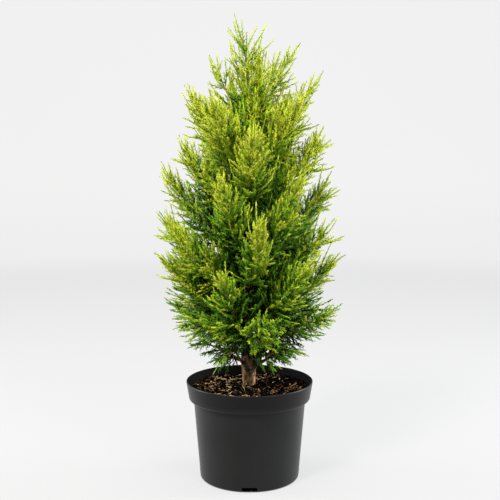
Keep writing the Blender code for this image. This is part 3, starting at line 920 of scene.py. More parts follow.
    def grow_side_spray(self, grip, place, hand, normal, length, lift, tone):
        """A smaller spray in the plane of its parent."""
        rng, settings = self.rng, self.settings
        point, ahead = bezier(grip, (place, place + AHEAD))
        along = unit(ahead - point)
        flat = unit(np.cross(normal, along)) * hand
        angle = spread_at(SIDE_SPREAD, place, rng)
        way = unit(along * math.cos(angle) + flat * math.sin(angle) + UP * lift * SIDE_LIFT)
        side_length = length * (SIDE_REACH[0] - SIDE_REACH[1] * place) * rng.uniform(*LENGTH_RANGE)
        tries, left = SIDE_FIT
        for _ in range(tries):
            end = point + way * side_length * SIDE_ROOM
            within = np.hypot(end[0], end[1]) < outline_at(end[2]) - SIDE_SPRAY_MARGIN
            if within and end[2] > settings.lowest_leaf:
                break
            side_length *= left
        if side_length < SHORTEST_SIDE_SPRAY:
            return
        side_grip = curved_grip(point, way, way + along * SIDE_BEND, side_length)
        side_normal = turned_about(normal, way, rng.uniform(-SIDE_TILT, SIDE_TILT))
        self.side_axes.append(axis_line(side_grip, *SIDE_AXIS))
        longest = min(settings.sprig_length, SIDE_SPRIG[0] + SIDE_SPRIG[1] * side_length)
        tone += rng.normal(0, settings.tone_sides)
        self.set_sprigs(side_grip, side_normal, side_length, settings.sprig_spacing, longest, tone)

    def grow_tail(self, plan):
        """Sprigs straight on the outer part of the stem, ever shorter to its cord-like tip."""
        settings = self.settings
        share = settings.tail_share
        reach = share - settings.lance_sprig / plan.length
        grip = tuple(plan.at(1 - share + reach * t)[0] for t in (0, 1 / 3, 2 / 3, 1))
        along = unit(grip[3] - grip[0])
        normal = square_to(along, self.rng.uniform(0, math.pi), NUDGE)
        length = float(np.linalg.norm(grip[3] - grip[0]))
        tone = self.tip_tone(grip[3])
        self.set_sprigs(grip, normal, length, settings.sprig_spacing, settings.lance_sprig, tone, 1.1)

    def set_sprigs(self, grip, normal, length, spacing, longest, tone, tip_size=0.9, first=0.0):
        """Sprigs on alternate sides of an axis, shorter towards its tip, and one that carries the tip on."""
        rng, settings = self.rng, self.settings
        height = grip[3][2]
        comb = float(np.interp(height, COMB_HEIGHTS, (settings.comb, 1.0)))
        longest *= comb
        count = max(FEWEST_SPRIGS, round(length * (1 - first) / (spacing * comb)))
        places = first + (1 - first) * (np.arange(count) + 0.6) / (count + 0.3)
        points = bezier(grip, places)
        along = unit(bezier(grip, places + AHEAD) - points)
        hands = np.where(np.arange(count) % 2, 1.0, -1.0)[:, None]
        flat = unit(np.cross(normal, along)) * hands
        angle = spread_at(SPRIG_SPREAD, places, rng, count)[:, None]
        aside = rng.uniform(-OUT_OF_PLANE, OUT_OF_PLANE, (count, 1))
        ways = along * np.cos(angle) + flat * np.sin(angle) + normal * aside
        ways = unit(ways - UP * float(np.interp(height, SPRIG_DROOP_HEIGHTS, (settings.sprig_droop, 0.0))))
        sizes = longest * np.interp(places, *zip(*SPRIG_SIZES)) * rng.uniform(*SIZE_RANGE, count)
        tones = tone + settings.tone_along * (places - TONE_PLACE)
        self.add_sprigs(points, ways, along, sizes, tones)
        end = unit(grip[3] - bezier(grip, 0.9))[None]
        size = np.array([longest * tip_size * rng.uniform(*SIZE_RANGE)])
        self.add_sprigs(grip[3][None], end, flat[:1], size, np.array([tone + TIP_TONE]))

    def add_sprigs(self, points, ways, along, sizes, tones):
        """Keeps sprigs whose flat side faces along the axis that they grow from."""
        sides = unit(along - ways * (along * ways).sum(axis=1, keepdims=True))
        self.sprigs.append((points, ways, sides, sizes, tones))

    def depth(self, point):
        """How far out a point is: 0 at the trunk's axis and 1 at the outline."""
        return min(1.0, math.hypot(point[0], point[1]) / float(outline_at(point[2])))

    def tone_of(self, point, share):
        """The tone of a spray, from the shaded heart (0) to the lit tips (5)."""
        settings = self.settings
        high = point[2]
        top = graded(high, TOP_SHARE)
        depth = max(self.depth(point), graded(high, TOP_DEPTH))
        out = settings.tone_out * depth**2 * (1 - TOP_EVENS_OUT[0] * top)
        value = settings.tone_floor + out + settings.tone_height * ((high - FOLIAGE_FOOT) / FOLIAGE_HEIGHT)
        low = settings.tone_skirt * graded(high, SKIRT_SHARE)
        value += settings.tone_top * top + low + STEM_TIP_TONE * share**2
        value -= graded(high, LEADER_LOSS)
        value += self.rng.normal(0, settings.tone_scatter) * (1 - TOP_EVENS_OUT[1] * top)
        return min(value, graded(high, MOST_TONE))

    def tip_tone(self, point):
        return min(self.settings.tone_tail, self.tone_of(point, 1.0))

    def joined_sprigs(self):
        """All sprigs as arrays, each cut back to the outline, the box, the pot and the trunk, or left out."""
        points, ways, sides, sizes, tones = (np.concatenate(rows) for rows in zip(*self.sprigs))
        low, high = np.array(CAD_BOX[0]) + BOX_MARGIN, np.array(CAD_BOX[1]) - BOX_MARGIN
        tries, left = SPRIG_FIT
        for _ in range(tries):
            tips = points + ways * sizes[:, None]
            wide = np.hypot(tips[:, 0], tips[:, 1]) > outline_at(tips[:, 2]) - OUTLINE_MARGIN
            past = ((tips < low) | (tips > high)).any(axis=1)
            bad = wide | past | (tips[:, 2] < self.settings.lowest_leaf)
            sizes[bad] *= left
        centre, radius = trunk_at(points[:, 2])
        keep = ~bad & (sizes > SHORTEST_SPRIG)
        keep &= np.linalg.norm((points - centre)[:, :2], axis=1) > radius + BARK_MARGIN
        return points[keep], ways[keep], sides[keep], sizes[keep], tones[keep]


# Sprig shapes: +Z along the sprig, and Y across its flat side

# Corners of a leafy twig's section, flatter on one side
SECTION = ((1.0, -0.5), (-1.0, -0.5), (0.0, 1.0))
# How thick a leafy twig is for its width
FLATNESS = 0.8
FLAT_SIDE = Vector((0, 1, 0))
# How far the tip of a sprig sways, along its flat side and out of it
TIP_SWAY = (0.06, 0.22)
TIP_ASIDE = 0.08
# Side twigs: width for the sprig's, place of the first, run to the last, what the length loses along the
# sprig, ranges of length and of angle in degrees, how far out of the plane, and how far the middle bulges
FAN_WIDTH = 0.68
FAN_FROM, FAN_RUN = 0.18, 0.46
FAN_TAPER = 0.55
FAN_LENGTHS = (0.8, 1.2)
FAN_ANGLES = (40, 52)
FAN_ASIDE = 0.25
FAN_BULGE = 0.6


def across(way):
    """The two ways across this one, through the flat side and along it."""
    thick = FLAT_SIDE.cross(way).normalized()
    return thick, way.cross(thick).normalized()


def sprig_axis(rng, settings):
    """The axis of a sprig, a three-sided spike one unit long, and how far its tip sways."""
    shape = bmesh.new()
    sway = Vector((rng.uniform(*TIP_SWAY), rng.uniform(-TIP_ASIDE, TIP_ASIDE), 0))
    end = Vector((0, 0, 1)) + sway
    width = settings.sprig_thickness
    thick, broad = across(end)
    foot = [shape.verts.new(broad * u * width + thick * v * width * FLATNESS) for u, v in SECTION]
    tip = shape.verts.new(end)
    for k in range(3):
        shape.faces.new((foot[k], foot[(k + 1) % 3], tip))
    return shape, sway


def sprig_fan(rng, settings, sway):
    """The side twigs of a sprig, alternate and shorter towards its end, each of four triangles."""
    shape = bmesh.new()
    width = settings.sprig_thickness * FAN_WIDTH
    for k in range(settings.side_twigs):
        share = FAN_FROM + FAN_RUN * k / (settings.side_twigs - 1)
        hand = 1 if k % 2 else -1
        length = settings.side_length * (1.0 - FAN_TAPER * share) * rng.uniform(*FAN_LENGTHS)
        angle = math.radians(rng.uniform(*FAN_ANGLES))
        root = Vector((0, 0, share)) + sway * share
        aside = rng.uniform(-FAN_ASIDE, FAN_ASIDE)
        way = Vector((hand * math.sin(angle), aside, math.cos(angle))).normalized()
        thick, broad = across(way)
        middle = root + way * length * 0.5 + thick * width * FAN_BULGE
        corners = root, root + way * length, middle + broad * width, middle - broad * width
        foot, tip, left, right = map(shape.verts.new, corners)
        for face in ((foot, left, right), (tip, left, right), (foot, tip, left), (foot, tip, right)):
            shape.faces.new(face)
    return shape


def sprig_shapes(settings):
    """A collection of sprig axes, then of the fans that fit them, named in that order."""
    shapes = bpy.data.collections.new("sprig_shapes")
    rng = random.Random(settings.seed)
    for k in range(settings.sprig_kinds):
        axis, sway = sprig_axis(rng, settings)
        fan = sprig_fan(rng, settings, sway)
        for kind, shape in (("a_axis", axis), ("b_fan", fan)):
            bmesh.ops.recalc_face_normals(shape, faces=shape.faces)
            name = f"sprig_{kind}_{k}"
            shapes.objects.link(bpy.data.objects.new(name, mesh_from(shape, name)))
    return shapes


def clear_collection(collection):
    for item in list(collection.objects):
        bpy.data.objects.remove(item, do_unlink=True)
    bpy.data.collections.remove(collection)


def sprig_tree():
    """Geometry Nodes: one sprig shape on each point, pointed, turned and sized by the point's attributes."""
    tree = GeometryTree("Sprigs on points", Shapes="Collection")
    way, side, scale = (tree.named(key, "FLOAT_VECTOR") for key in ("way", "side", "scale"))
    pointed = tree.out("FunctionNodeAlignRotationToVector", {"Vector": way}, axis="Z")
    inputs = {"Rotation": pointed, "Vector": side}
    turned = tree.out("FunctionNodeAlignRotationToVector", inputs, axis="X", pivot_axis="Z")
    points = tree.out("GeometryNodeMeshToPoints", {"Mesh": tree.given["Geometry"]})
    kind = tree.named("kind", "INT")
    inputs = {"Points": points, "Instance Index": kind, "Rotation": turned, "Scale": scale}
    return tree.finish(tree.out("GeometryNodeInstanceOnPoints", {**inputs, **tree.picked("Shapes")}))


def point_mesh(name, points, **attributes):
    """A mesh of loose points with attributes of whole numbers, of numbers or of vectors."""
    mesh = bpy.data.meshes.new(name)
    mesh.vertices.add(len(points))
    mesh.vertices.foreach_set("co", points.astype(np.float32).ravel())
    for key, values in attributes.items():
        whole = values.dtype.kind == "i"
        kind = "FLOAT_VECTOR" if values.ndim == 2 else "INT" if whole else "FLOAT"
        made = mesh.attributes.new(key, kind, "POINT")
        field = "vector" if values.ndim == 2 else "value"
        made.data.foreach_set(field, values.astype(np.int32 if whole else np.float32).ravel())
    return mesh


# Tubes along lines

# Bark relief: stretch along the tube, scale, detail and roughness of each grain, and the share of the first
FISSURES = (78.0, 4.6, 4.0, 0.6)
KNOBS = (45.0, 0.9, 1.0, 0.5)
FISSURE_SHARE = 0.55


def tube_tree(relief):
    """Geometry Nodes: a tapering tube along every edge line, with bark relief where asked."""
    name, more = ("Bark tubes", {"Relief": "Float"}) if relief else ("Twig tubes", {})
    tree = GeometryTree(name, Sides="Int", **more)
    curve = tree.out("GeometryNodeMeshToCurve", {"Mesh": tree.given["Geometry"]})
    ring = tree.out("GeometryNodeCurvePrimitiveCircle", {"Resolution": tree.given["Sides"], "Radius": 1.0})
    if relief:
        curve = tree.store(curve, "along", tree.out("GeometryNodeSplineParameter", output="Length"))
        ring = tree.store(ring, "around", tree.out("GeometryNodeInputPosition"), "FLOAT_VECTOR")
    inputs = {"Curve": curve, "Profile Curve": ring, "Scale": tree.named("thickness"), "Fill Caps": True}
    tube = tree.out("GeometryNodeCurveToMesh", inputs)
    if not relief:
        return tree.finish(tube)
    around = tree.named("around", "FLOAT_VECTOR")
    along = tree.out("ShaderNodeCombineXYZ", {"Z": tree.named("along")})
    fissures, knobs = (
        tree.noise(tree.vector("ADD", tree.scaled(along, stretch), around), *grain)
        for stretch, *grain in (FISSURES, KNOBS)
    )
    height = tree.math("MULTIPLY", fissures, FISSURE_SHARE)
    height = tree.math("MULTIPLY_ADD", knobs, 1 - FISSURE_SHARE, height)
    tube = tree.store(tube, "relief", height)
    depth = tree.math("MULTIPLY", tree.named("thickness"), tree.given["Relief"])
    depth = tree.math("MULTIPLY", depth, tree.math("SUBTRACT", height, 0.5))
    offset = tree.scaled(tree.out("GeometryNodeInputNormal"), depth)
    return tree.finish(tree.out("GeometryNodeSetPosition", {"Geometry": tube, "Offset": offset}))


def lines_mesh(name, lines):
    """A mesh of open edge lines from (points, radii) pairs."""
    points = np.concatenate([line for line, _ in lines])
    radii = np.concatenate([radius for _, radius in lines])
    ends = np.cumsum([len(line) for line, _ in lines])
    starts = np.arange(len(points) - 1)
    starts = starts[~np.isin(starts, ends - 1)]
    mesh = point_mesh(name, points, thickness=radii)
    mesh.edges.add(len(starts))
    mesh.edges.foreach_set("vertices", np.stack([starts, starts + 1], 1).astype(np.int32).ravel())
    return mesh


def resampled(line, radii, spacing):
    """A line and its radii at an even spacing."""
    run = np.concatenate([[0.0], np.cumsum(np.linalg.norm(np.diff(line, axis=0), axis=1))])
    places = np.linspace(0, run[-1], max(2, int(run[-1] / spacing)))
    points = np.stack([np.interp(places, run, line[:, k]) for k in range(3)], 1)
    return points, np.interp(places, run, radii)


# Turned shapes


def arc(centre, radius, start, end, steps):
    """Points (radius, height) on a circular arc between two angles in degrees."""
    turns = [math.radians(start + (end - start) * i / steps) for i in range(steps + 1)]
    return [(centre[0] + radius * math.cos(a), centre[1] + radius * math.sin(a)) for a in turns]


def turned_mesh(name, line, steps):
    """A profile (radius, height) turned about Z, its seam and poles closed and its faces outwards."""
    profile = bpy.data.meshes.new(f"{name}_profile")
    profile.from_pydata([(r, 0.0, z) for r, z in line], [(i, i + 1) for i in range(len(line) - 1)], [])
    guide = add_piece(f"{name}_guide", profile)
    turned = guide.modifiers.new("turned", "SCREW")
    turned.steps = turned.render_steps = steps
    turned.use_merge_vertices = True
    turned.merge_threshold = 0.00001
    mesh = mesh_of(guide, name)
    shape = bmesh.new()
    shape.from_mesh(mesh)
    bmesh.ops.remove_doubles(shape, verts=shape.verts, dist=0.000002)
    bmesh.ops.recalc_face_normals(shape, faces=shape.faces)
    shape.to_mesh(mesh)
    shape.free()
    return mesh


# Settings


def a_length(name, description, default):
    return FloatProperty(name=name, description=description, default=default, unit="LENGTH")


def an_angle(name, description, degrees):
    return FloatProperty(name=name, description=description, default=math.radians(degrees), subtype="ANGLE")


def a_number(name, description, default):
    return FloatProperty(name=name, description=description, default=default)


def a_count(name, description, default, least=0):
    return IntProperty(name=name, description=description, default=default, min=least)


def a_colour(name, description, default):
    return FloatVectorProperty(name=name, description=description, size=4, subtype="COLOR", default=default)


class PotSettings(PropertyGroup):
    wall: a_length("Wall", "Thickness of the moulded wall", 0.0018)
    rim_roll: a_length("Rim roll", "Radius of the rolled lip", 0.0014)
    drain_width: a_length("Drain width", "Width of a drain notch", 0.0225)
    drain_height: a_length("Drain height", "Height of a drain notch", 0.0078)
    drain_depth: a_length("Drain depth", "Depth of a drain notch", 0.019)
    drains: a_count("Drains", "Number of drain notches", 4)
    steps: a_count("Steps", "Steps round the pot", 160, 24)
    colour: a_colour("Colour", "Charcoal of the plastic", (0.0086, 0.0087, 0.0089, 1))


class SoilSettings(PropertyGroup):
    rings: a_count("Rings", "Rings of the soil surface", 70, 8)
    spokes: a_count("Spokes", "Spokes of the soil surface", 150, 16)
    lumps: a_length("Lumps", "Height of the clods", 0.0055)
    seed: a_count("Seed", "Seed of the litter", 5)
    dark: a_colour("Dark", "Moist peat", (0.0014, 0.0009, 0.0005, 1))
    brown: a_colour("Brown", "Drier peat", (0.022, 0.012, 0.006, 1))


class BarkSettings(PropertyGroup):
    relief: a_number("Relief", "Depth of the creases, as a share of the radius", 0.55)
    sides: a_count("Sides", "Sides of the trunk", 56, 8)
    spacing: a_length("Spacing", "Spacing of the rings", 0.0013)
    pale: a_colour("Pale", "Weathered bark", (0.54, 0.32, 0.16, 1))
    dark: a_colour("Dark", "Bark in the creases", (0.044, 0.026, 0.012, 1))
    moss: a_colour("Moss", "Green film", (0.085, 0.11, 0.020, 1))


class FoliageSettings(PropertyGroup):
    seed: a_count("Seed", "Seed of the growth", 7)
    spray_spacing: a_length("Spray spacing", "Distance between sprays on a stem", 0.0046)
    spray_share: a_number("Spray share", "Part of a stem that carries sprays", 0.84)
    spray_reach: a_number("Spray reach", "Length of the longest spray in half widths of its plume", 1.45)
    top_reach: a_number("Reach at the top", "How much longer the sprays are near the top", 1.3)
    shortest_spray: a_length("Shortest spray", "A spray that must be shorter is left out", 0.007)
    lance_share: a_number("Lances", "Share of the sprays that are long and narrow", 0.12)
    lance_sprig: a_length("Sprigs of a lance", "Length of a full sprig on a lance or a tail", 0.0082)
    side_spacing: a_length("Side spacing", "Distance between the side sprays of a spray", 0.0070)
    tail_share: a_number("Tail share", "Outer part of a stem with sprigs of its own", 0.40)
    trunk_spacing: a_length("Trunk spacing", "Distance between sprays on the trunk", 0.0030)
    trunk_sprays_from: a_length("Trunk sprays from", "Height of the first spray on the trunk", 0.22)
    heart: a_number("Heart", "Sprays that end nearer to the trunk, in shares of the outline, are plain", 0.44)
    heart_length: a_length("Heart length", "Length of a sprig in the heart", 0.018)
    sprig_spacing: a_length("Sprig spacing", "Distance between sprigs on a side spray", 0.0033)
    sprig_length: a_length("Sprig length", "Length of a full sprig", 0.0090)
    sprig_thickness: a_number("Sprig thickness", "Half width of a leafy twig, in sprig lengths", 0.165)
    sprig_kinds: a_count("Sprig kinds", "Different sprig shapes", 6, 1)
    side_twigs: a_count("Side twigs", "Side twigs of a sprig", 3, 2)
    side_length: a_number("Side length", "Length of a sprig's longest side twig, in sprig lengths", 0.42)
    comb: a_number("Comb", "How much longer the lowest sprigs are", 1.75)
    lift: a_number("Lift", "How much the top sprays turn up", 0.80)
    droop: a_number("Droop", "How much the low sprays turn down", -0.85)
    sprig_droop: a_number("Sprig droop", "How much the low sprigs turn down", 0.35)
    mingling: a_length("Mingling", "How far a plume reaches into its neighbour's space", 0.036)
    edge_margin: a_length("Edge margin", "Room kept for the sprigs inside the outline", 0.001)
    edge_depth: a_length("Edge depth", "How far the lances stand out of the mass", 0.003)
    tip_room: a_length("Tip room", "How far a spray may pass its plume's tip", 0.005)
    low_room: a_length("Low room", "How much further it may pass it lower down", 0.012)
    lowest_leaf: a_length("Lowest leaf", "Height under which no leaf hangs", 0.1545)
    tone_floor: a_number("Tone floor", "Tone of the heart", -0.45)
    tone_out: a_number("Tone outwards", "Tone gained from heart to edge", 3.2)
    tone_height: a_number("Tone upwards", "Tone gained from foot to top", 2.6)
    tone_top: a_number("Tone at the top", "Extra tone near the top", 1.4)
    tone_skirt: a_number("Tone of the skirt", "Extra tone by the pot", -0.25)
    tone_along: a_number("Tone along", "Tone gained from a spray's foot to its tip", 1.6)
    tone_tail: a_number("Tone of the tips", "Greatest tone of a plume's tip", 3.2)
    tone_scatter: a_number("Tone scatter", "Spread of the tones of sprays", 0.55)
    tone_sides: a_number("Tone of side sprays", "Spread of the tones of side sprays", 0.38)
    tone_sprigs: a_number("Tone of sprigs", "Spread of the tones of sprigs", 0.30)
    tone_bend: a_number("Tone bend", "Tone from which brighter ones grow rare", 3.1)


class StageSettings(PropertyGroup):
    distance: a_length("Distance", "From the camera to the pot's axis", 1.31)
    height: a_length("Height", "Height of the camera", 0.49)
    pitch: an_angle("Pitch", "How far the camera looks down", 6.34)
    view_angle: an_angle("View angle", "Across the picture", 31.4)
    floor_radius: a_length("Floor radius", "Flat part of the studio floor", 2.2)
    wall_height: a_length("Wall height", "Height of the studio wall", 3.4)


class CypressSettings(PropertyGroup):
    pot: PointerProperty(type=PotSettings)
    soil: PointerProperty(type=SoilSettings)
    bark: PointerProperty(type=BarkSettings)
    foliage: PointerProperty(type=FoliageSettings)
    stage: PointerProperty(type=StageSettings)


# Operators


class CYPRESS_OT_pot(Operator):
    """Turn the nursery pot and cut its drain notches"""

    bl_idname = "cypress.pot"
    bl_label = "Pot"

    # Arcs of the section: centre (radius, height), radius, first and last turn in degrees, steps
    COLLAR_ARCS = (((0.0874, 0.1240), 0.0038, 0, -84, 6), ((0.0863, 0.1177), 0.0025, 96, 180, 4))
    FOOT_ARC = ((0.0703, 0.0045), 0.0045, 4, -90, 6)
    INNER_FOOT_ARC = ((0.0695, 0.0050), 0.0035, -90, 0, 4)
    # Points of the section: the faint band above the foot, the ring under the floor, and the collar
    BAND = [(0.0752, 0.0125), (0.0753, 0.0108), (0.0751, 0.0092)]
    BASE_RING = [(0.0640, 0.0), (0.0632, 0.0012), (0.0560, 0.0012), (0.0552, 0.0)]
    FLOOR_RADIUS = 0.0690
    COLLAR = ((0.0838, 0.1170), (0.0886, 0.1215))
    LIP_STEP = 0.0008
    DRAIN_RADIUS = 0.0700
    DRAIN_ROUNDING = 0.0018
    SMOOTH_UNDER = math.radians(38)

    def profile(self, settings):
        """The pot's whole section, down its outer side and back up its inner side."""
        top, wall, roll = POT_HEIGHT, settings.wall, settings.rim_roll
        lip = arc((RIM_RADIUS - roll, top - roll), roll, 100, -20, 6)
        outer = [point for row in self.COLLAR_ARCS for point in arc(*row)]
        outer += self.BAND + arc(*self.FOOT_ARC) + self.BASE_RING + [(0.0, 0.0)]
        inner = [(0.0, wall), (self.FLOOR_RADIUS, wall)] + arc(*self.INNER_FOOT_ARC)
        inner += [(radius - wall, height) for radius, height in self.COLLAR]
        mouth = [(RIM_RADIUS - wall - self.LIP_STEP, top - 2 * roll), (RIM_RADIUS - wall, top - roll)]
        return lip + outer + inner + mouth + [lip[0]]

    def cutters(self, settings):
        """Blocks with rounded upper corners that cut the drain notches, the first at the front."""
        shape = bmesh.new()
        depth = settings.drain_depth
        size = Matrix.Diagonal((depth, settings.drain_width, 2 * settings.drain_height, 1.0))
        for i in range(settings.drains):
            turned = Matrix.Rotation(FULL_TURN * i / settings.drains - math.pi / 2, 4, "Z")
            place = Matrix.Translation((self.DRAIN_RADIUS, 0.0, 0.0))
            corners = set(bmesh.ops.create_cube(shape, size=1.0, matrix=turned @ place @ size)["verts"])
            upper = [
                edge
                for edge in shape.edges
                if corners.issuperset(edge.verts)
                and min(corner.co.z for corner in edge.verts) > 0
                and abs(edge.calc_length() - depth) < 0.0001
            ]
            rounding = {"offset": self.DRAIN_ROUNDING, "segments": 4, "profile": 0.5, "affect": "EDGES"}
            bmesh.ops.bevel(shape, geom=upper, **rounding)
        return add_piece("drain_cutters", mesh_from(shape, "drain_cutters"))

    def execute(self, context):
        settings = context.scene.cypress.pot
        guide = add_piece("pot_guide", turned_mesh("pot_section", self.profile(settings), settings.steps))
        cutters = self.cutters(settings)
        notches = guide.modifiers.new("notches", "BOOLEAN")
        notches.object = cutters
        notches.solver = "EXACT"
        mesh = mesh_of(guide, "nursery_pot")
        bpy.data.objects.remove(cutters, do_unlink=True)
        mesh.materials.clear()
        mesh.materials.append(pot_material("charcoal_plastic", settings.colour))
        mesh.shade_smooth()
        mesh.set_sharp_from_angle(angle=self.SMOOTH_UNDER)
        declare(add_piece("nursery_pot", mesh), "pot", "pot")
        return {"FINISHED"}


class CYPRESS_OT_soil(Operator):
    """Fill the pot with lumpy peat"""

    bl_idname = "cypress.soil"
    bl_label = "Soil"

    # Side of the fill, (radius, height), from its edge under the rim to the pot's floor
    SIDE = (
        (0.0899, 0.1366),
        (0.0882, 0.1300),
        (0.0858, 0.1218),
        (0.0812, 0.1165),
        (0.0722, 0.0060),
        (0.0690, 0.0024),
        (0.0000, 0.0024),
    )
    FLAT_TOP = 0.14
    TOP_FROM = 0.136
    SINK = 0.0002
    MOUND = 0.0035
    # Clods: how many to the metre, then how much finer and closer each of their four layers is
    CLODS = 85
    CLOD_LAYERS = (0.9, 2.1, 4)
    CRUMBS = 380

    def height_at(self, x, y, lumps):
        """Height of the soil: a low mound round the trunk, with clods."""
        away = math.hypot(x, y) / SOIL_HIGH.x
        mound = SOIL_HIGH.z - self.SINK - self.MOUND * away
        place = Vector((x, y, 0.3))
        clods = noise.fractal(place * self.CLODS, *self.CLOD_LAYERS)
        crumbs = noise.noise(place * self.CRUMBS)
        near_wall = 0.35 + 0.65 * (1 - away**6)
        return mound + lumps * near_wall * (0.6 * clods + 0.25 * crumbs - 0.35)

    def execute(self, context):
        settings = context.scene.cypress.soil
        top = [(self.SIDE[0][0] * i / settings.rings, self.FLAT_TOP) for i in range(settings.rings)]
        mesh = turned_mesh("peat_soil", [*top, *self.SIDE], settings.spokes)
        for vertex in mesh.vertices:
            if vertex.co.z > self.TOP_FROM:
                vertex.co.z = self.height_at(vertex.co.x, vertex.co.y, settings.lumps)
        mesh.materials.append(soil_material("peat", settings.dark, settings.brown))
        mesh.shade_smooth()
        declare(add_piece("peat_soil", mesh), "soil", "soil")
        return {"FINISHED"}


class CYPRESS_OT_litter(Operator):
    """Strew crumbs, straw fibres, bark chips and pale grit over the soil"""

    bl_idname = "cypress.litter"
    bl_label = "Soil litter"

    # name, density per square metre, least and greatest size, stretch along each side, colour, spread of its
    # colour, greatest tilt and share of the density between the patches
    KINDS = (
        ("dark_crumbs", 52000, 0.0010, 0.0036, (1.0, 0.9, 0.7), (0.0012, 0.0007, 0.0003, 1), 0.6, 0.9, 0.7),
        ("brown_crumbs", 30000, 0.0006, 0.0020, (1.2, 0.8, 0.6), (0.095, 0.054, 0.025, 1), 0.8, 0.9, 0.08),
        ("bark_chips", 1900, 0.0016, 0.0042, (1.5, 0.8, 0.3), (0.150, 0.068, 0.036, 1), 0.6, 0.9, 0.08),
        ("straw_fibres", 13000, 0.0022, 0.0086, (1.8, 0.05, 0.045), (0.82, 0.58, 0.31, 1), 0.4, 0.35, 0.08),
        ("rusty_fibres", 7000, 0.0020, 0.0070, (1.7, 0.06, 0.05), (0.32, 0.14, 0.045, 1), 0.5, 0.9, 0.08),
        ("pale_grit", 1500, 0.0006, 0.0013, (1.0, 1.0, 0.8), (0.80, 0.76, 0.68, 1), 0.15, 0.9, 0.08),
    )
    SHAPES = 4
    FIBRE_UNDER = 0.1
    CURL = 0.28
    BOW = 0.22
    LOPSIDED = (0.72, 1.18)
    TOP_FROM = 0.1315
    EDGE_MARGIN = 0.0015
    # Patches: scale and detail of their noise, its values between them and within them, and their density
    PATCHES = (42.0, 2.0)
    PATCH_EDGE = (0.44, 0.60)
    PATCH_DENSITY = 2.0
    ROUND = 6.2832

    def bit(self, name, stretch, rng):
        """One crumb: a small lopsided stone shape, stretched to its kind, and curled if it is a fibre."""
        shape = bmesh.new()
        bmesh.ops.create_icosphere(shape, subdivisions=1, radius=1.0)
        curl = rng.uniform(-self.CURL, self.CURL) if stretch[1] < self.FIBRE_UNDER else 0.0
        for corner in shape.verts:
            corner.co *= rng.uniform(*self.LOPSIDED)
            corner.co = Vector([c * s for c, s in zip(corner.co, stretch)])
            corner.co.z += self.BOW * stretch[1] * corner.co.x**2
            corner.co.y += curl * corner.co.x**2
        return bpy.data.objects.new(name, mesh_from(shape, name))

    def tree(self):
        """Geometry Nodes: bits in patches on the soil's top, tilted, turned and sized at random."""
        floats = dict.fromkeys(("Density", "Least", "Greatest", "Tilt", "Reach", "Sparse"), "Float")
        tree = GeometryTree("Litter on soil", Bits="Collection", **floats, Shift="Vector", Seed="Int")
        given = tree.given
        place = tree.out("GeometryNodeInputPosition")
        inputs = {"A": tree.part(place, "Z"), "B": self.TOP_FROM}
        above = tree.out("FunctionNodeCompare", inputs, operation="GREATER_THAN")
        inputs = {"A": tree.off_axis(place), "B": given["Reach"]}
        within = tree.out("FunctionNodeCompare", inputs, operation="LESS_THAN")
        on_top = tree.out("FunctionNodeBooleanMath", {0: above, 1: within}, operation="AND")
        patches = tree.noise(tree.vector("ADD", place, given["Shift"]), *self.PATCHES)
        share = tree.mapped(patches, *self.PATCH_EDGE, given["Sparse"], self.PATCH_DENSITY)
        density = tree.math("MULTIPLY", share, given["Density"])
        inputs = {"Mesh": given["Geometry"], "Selection": on_top, "Density": density, "Seed": given["Seed"]}
        points = tree.out("GeometryNodeDistributePointsOnFaces", inputs)
        tilt, lowest = given["Tilt"], tree.math("MULTIPLY", given["Tilt"], -1.0)
        least = tree.out("ShaderNodeCombineXYZ", {"X": lowest, "Y": lowest, "Z": 0.0})
        most = tree.out("ShaderNodeCombineXYZ", {"X": tilt, "Y": tilt, "Z": self.ROUND})
        inputs = {"Seed": given["Seed"], 0: least, 1: most}
        turned = tree.out("FunctionNodeRandomValue", inputs, data_type="FLOAT_VECTOR")
        inputs = {"Seed": given["Seed"], 2: given["Least"], 3: given["Greatest"]}
        size = tree.out("FunctionNodeRandomValue", inputs, 1, data_type="FLOAT")
        rotation = tree.out("FunctionNodeEulerToRotation", {"Euler": turned})
        inputs = {"Points": points, "Rotation": rotation, "Scale": size, **tree.picked("Bits")}
        return tree.finish(tree.out("GeometryNodeInstanceOnPoints", inputs))

    def execute(self, context):
        settings = context.scene.cypress.soil
        tree = self.tree()
        soil = bpy.data.objects["peat_soil"].data
        for k, kind in enumerate(self.KINDS):
            name, density, least, greatest, stretch, colour, spread, tilt, sparse = kind
            rng = random.Random(settings.seed + k)
            bits = bpy.data.collections.new(f"{name}_bits")
            for i in range(self.SHAPES):
                bits.objects.link(self.bit(f"{name}_{i}", stretch, rng))
            values = {
                "Bits": bits,
                "Density": float(density),
                "Least": least,
                "Greatest": greatest,
                "Tilt": tilt,
                "Reach": SOIL_HIGH.x - self.EDGE_MARGIN - greatest * stretch[0],
                "Sparse": sparse,
                "Shift": (0.3 * k, 0.0, 0.0),
                "Seed": settings.seed + k,
                "Material": litter_material(name, colour, spread),
            }
            declare(tree.apply(name, soil.copy(), values), "soil")
            clear_collection(bits)
        return {"FINISHED"}


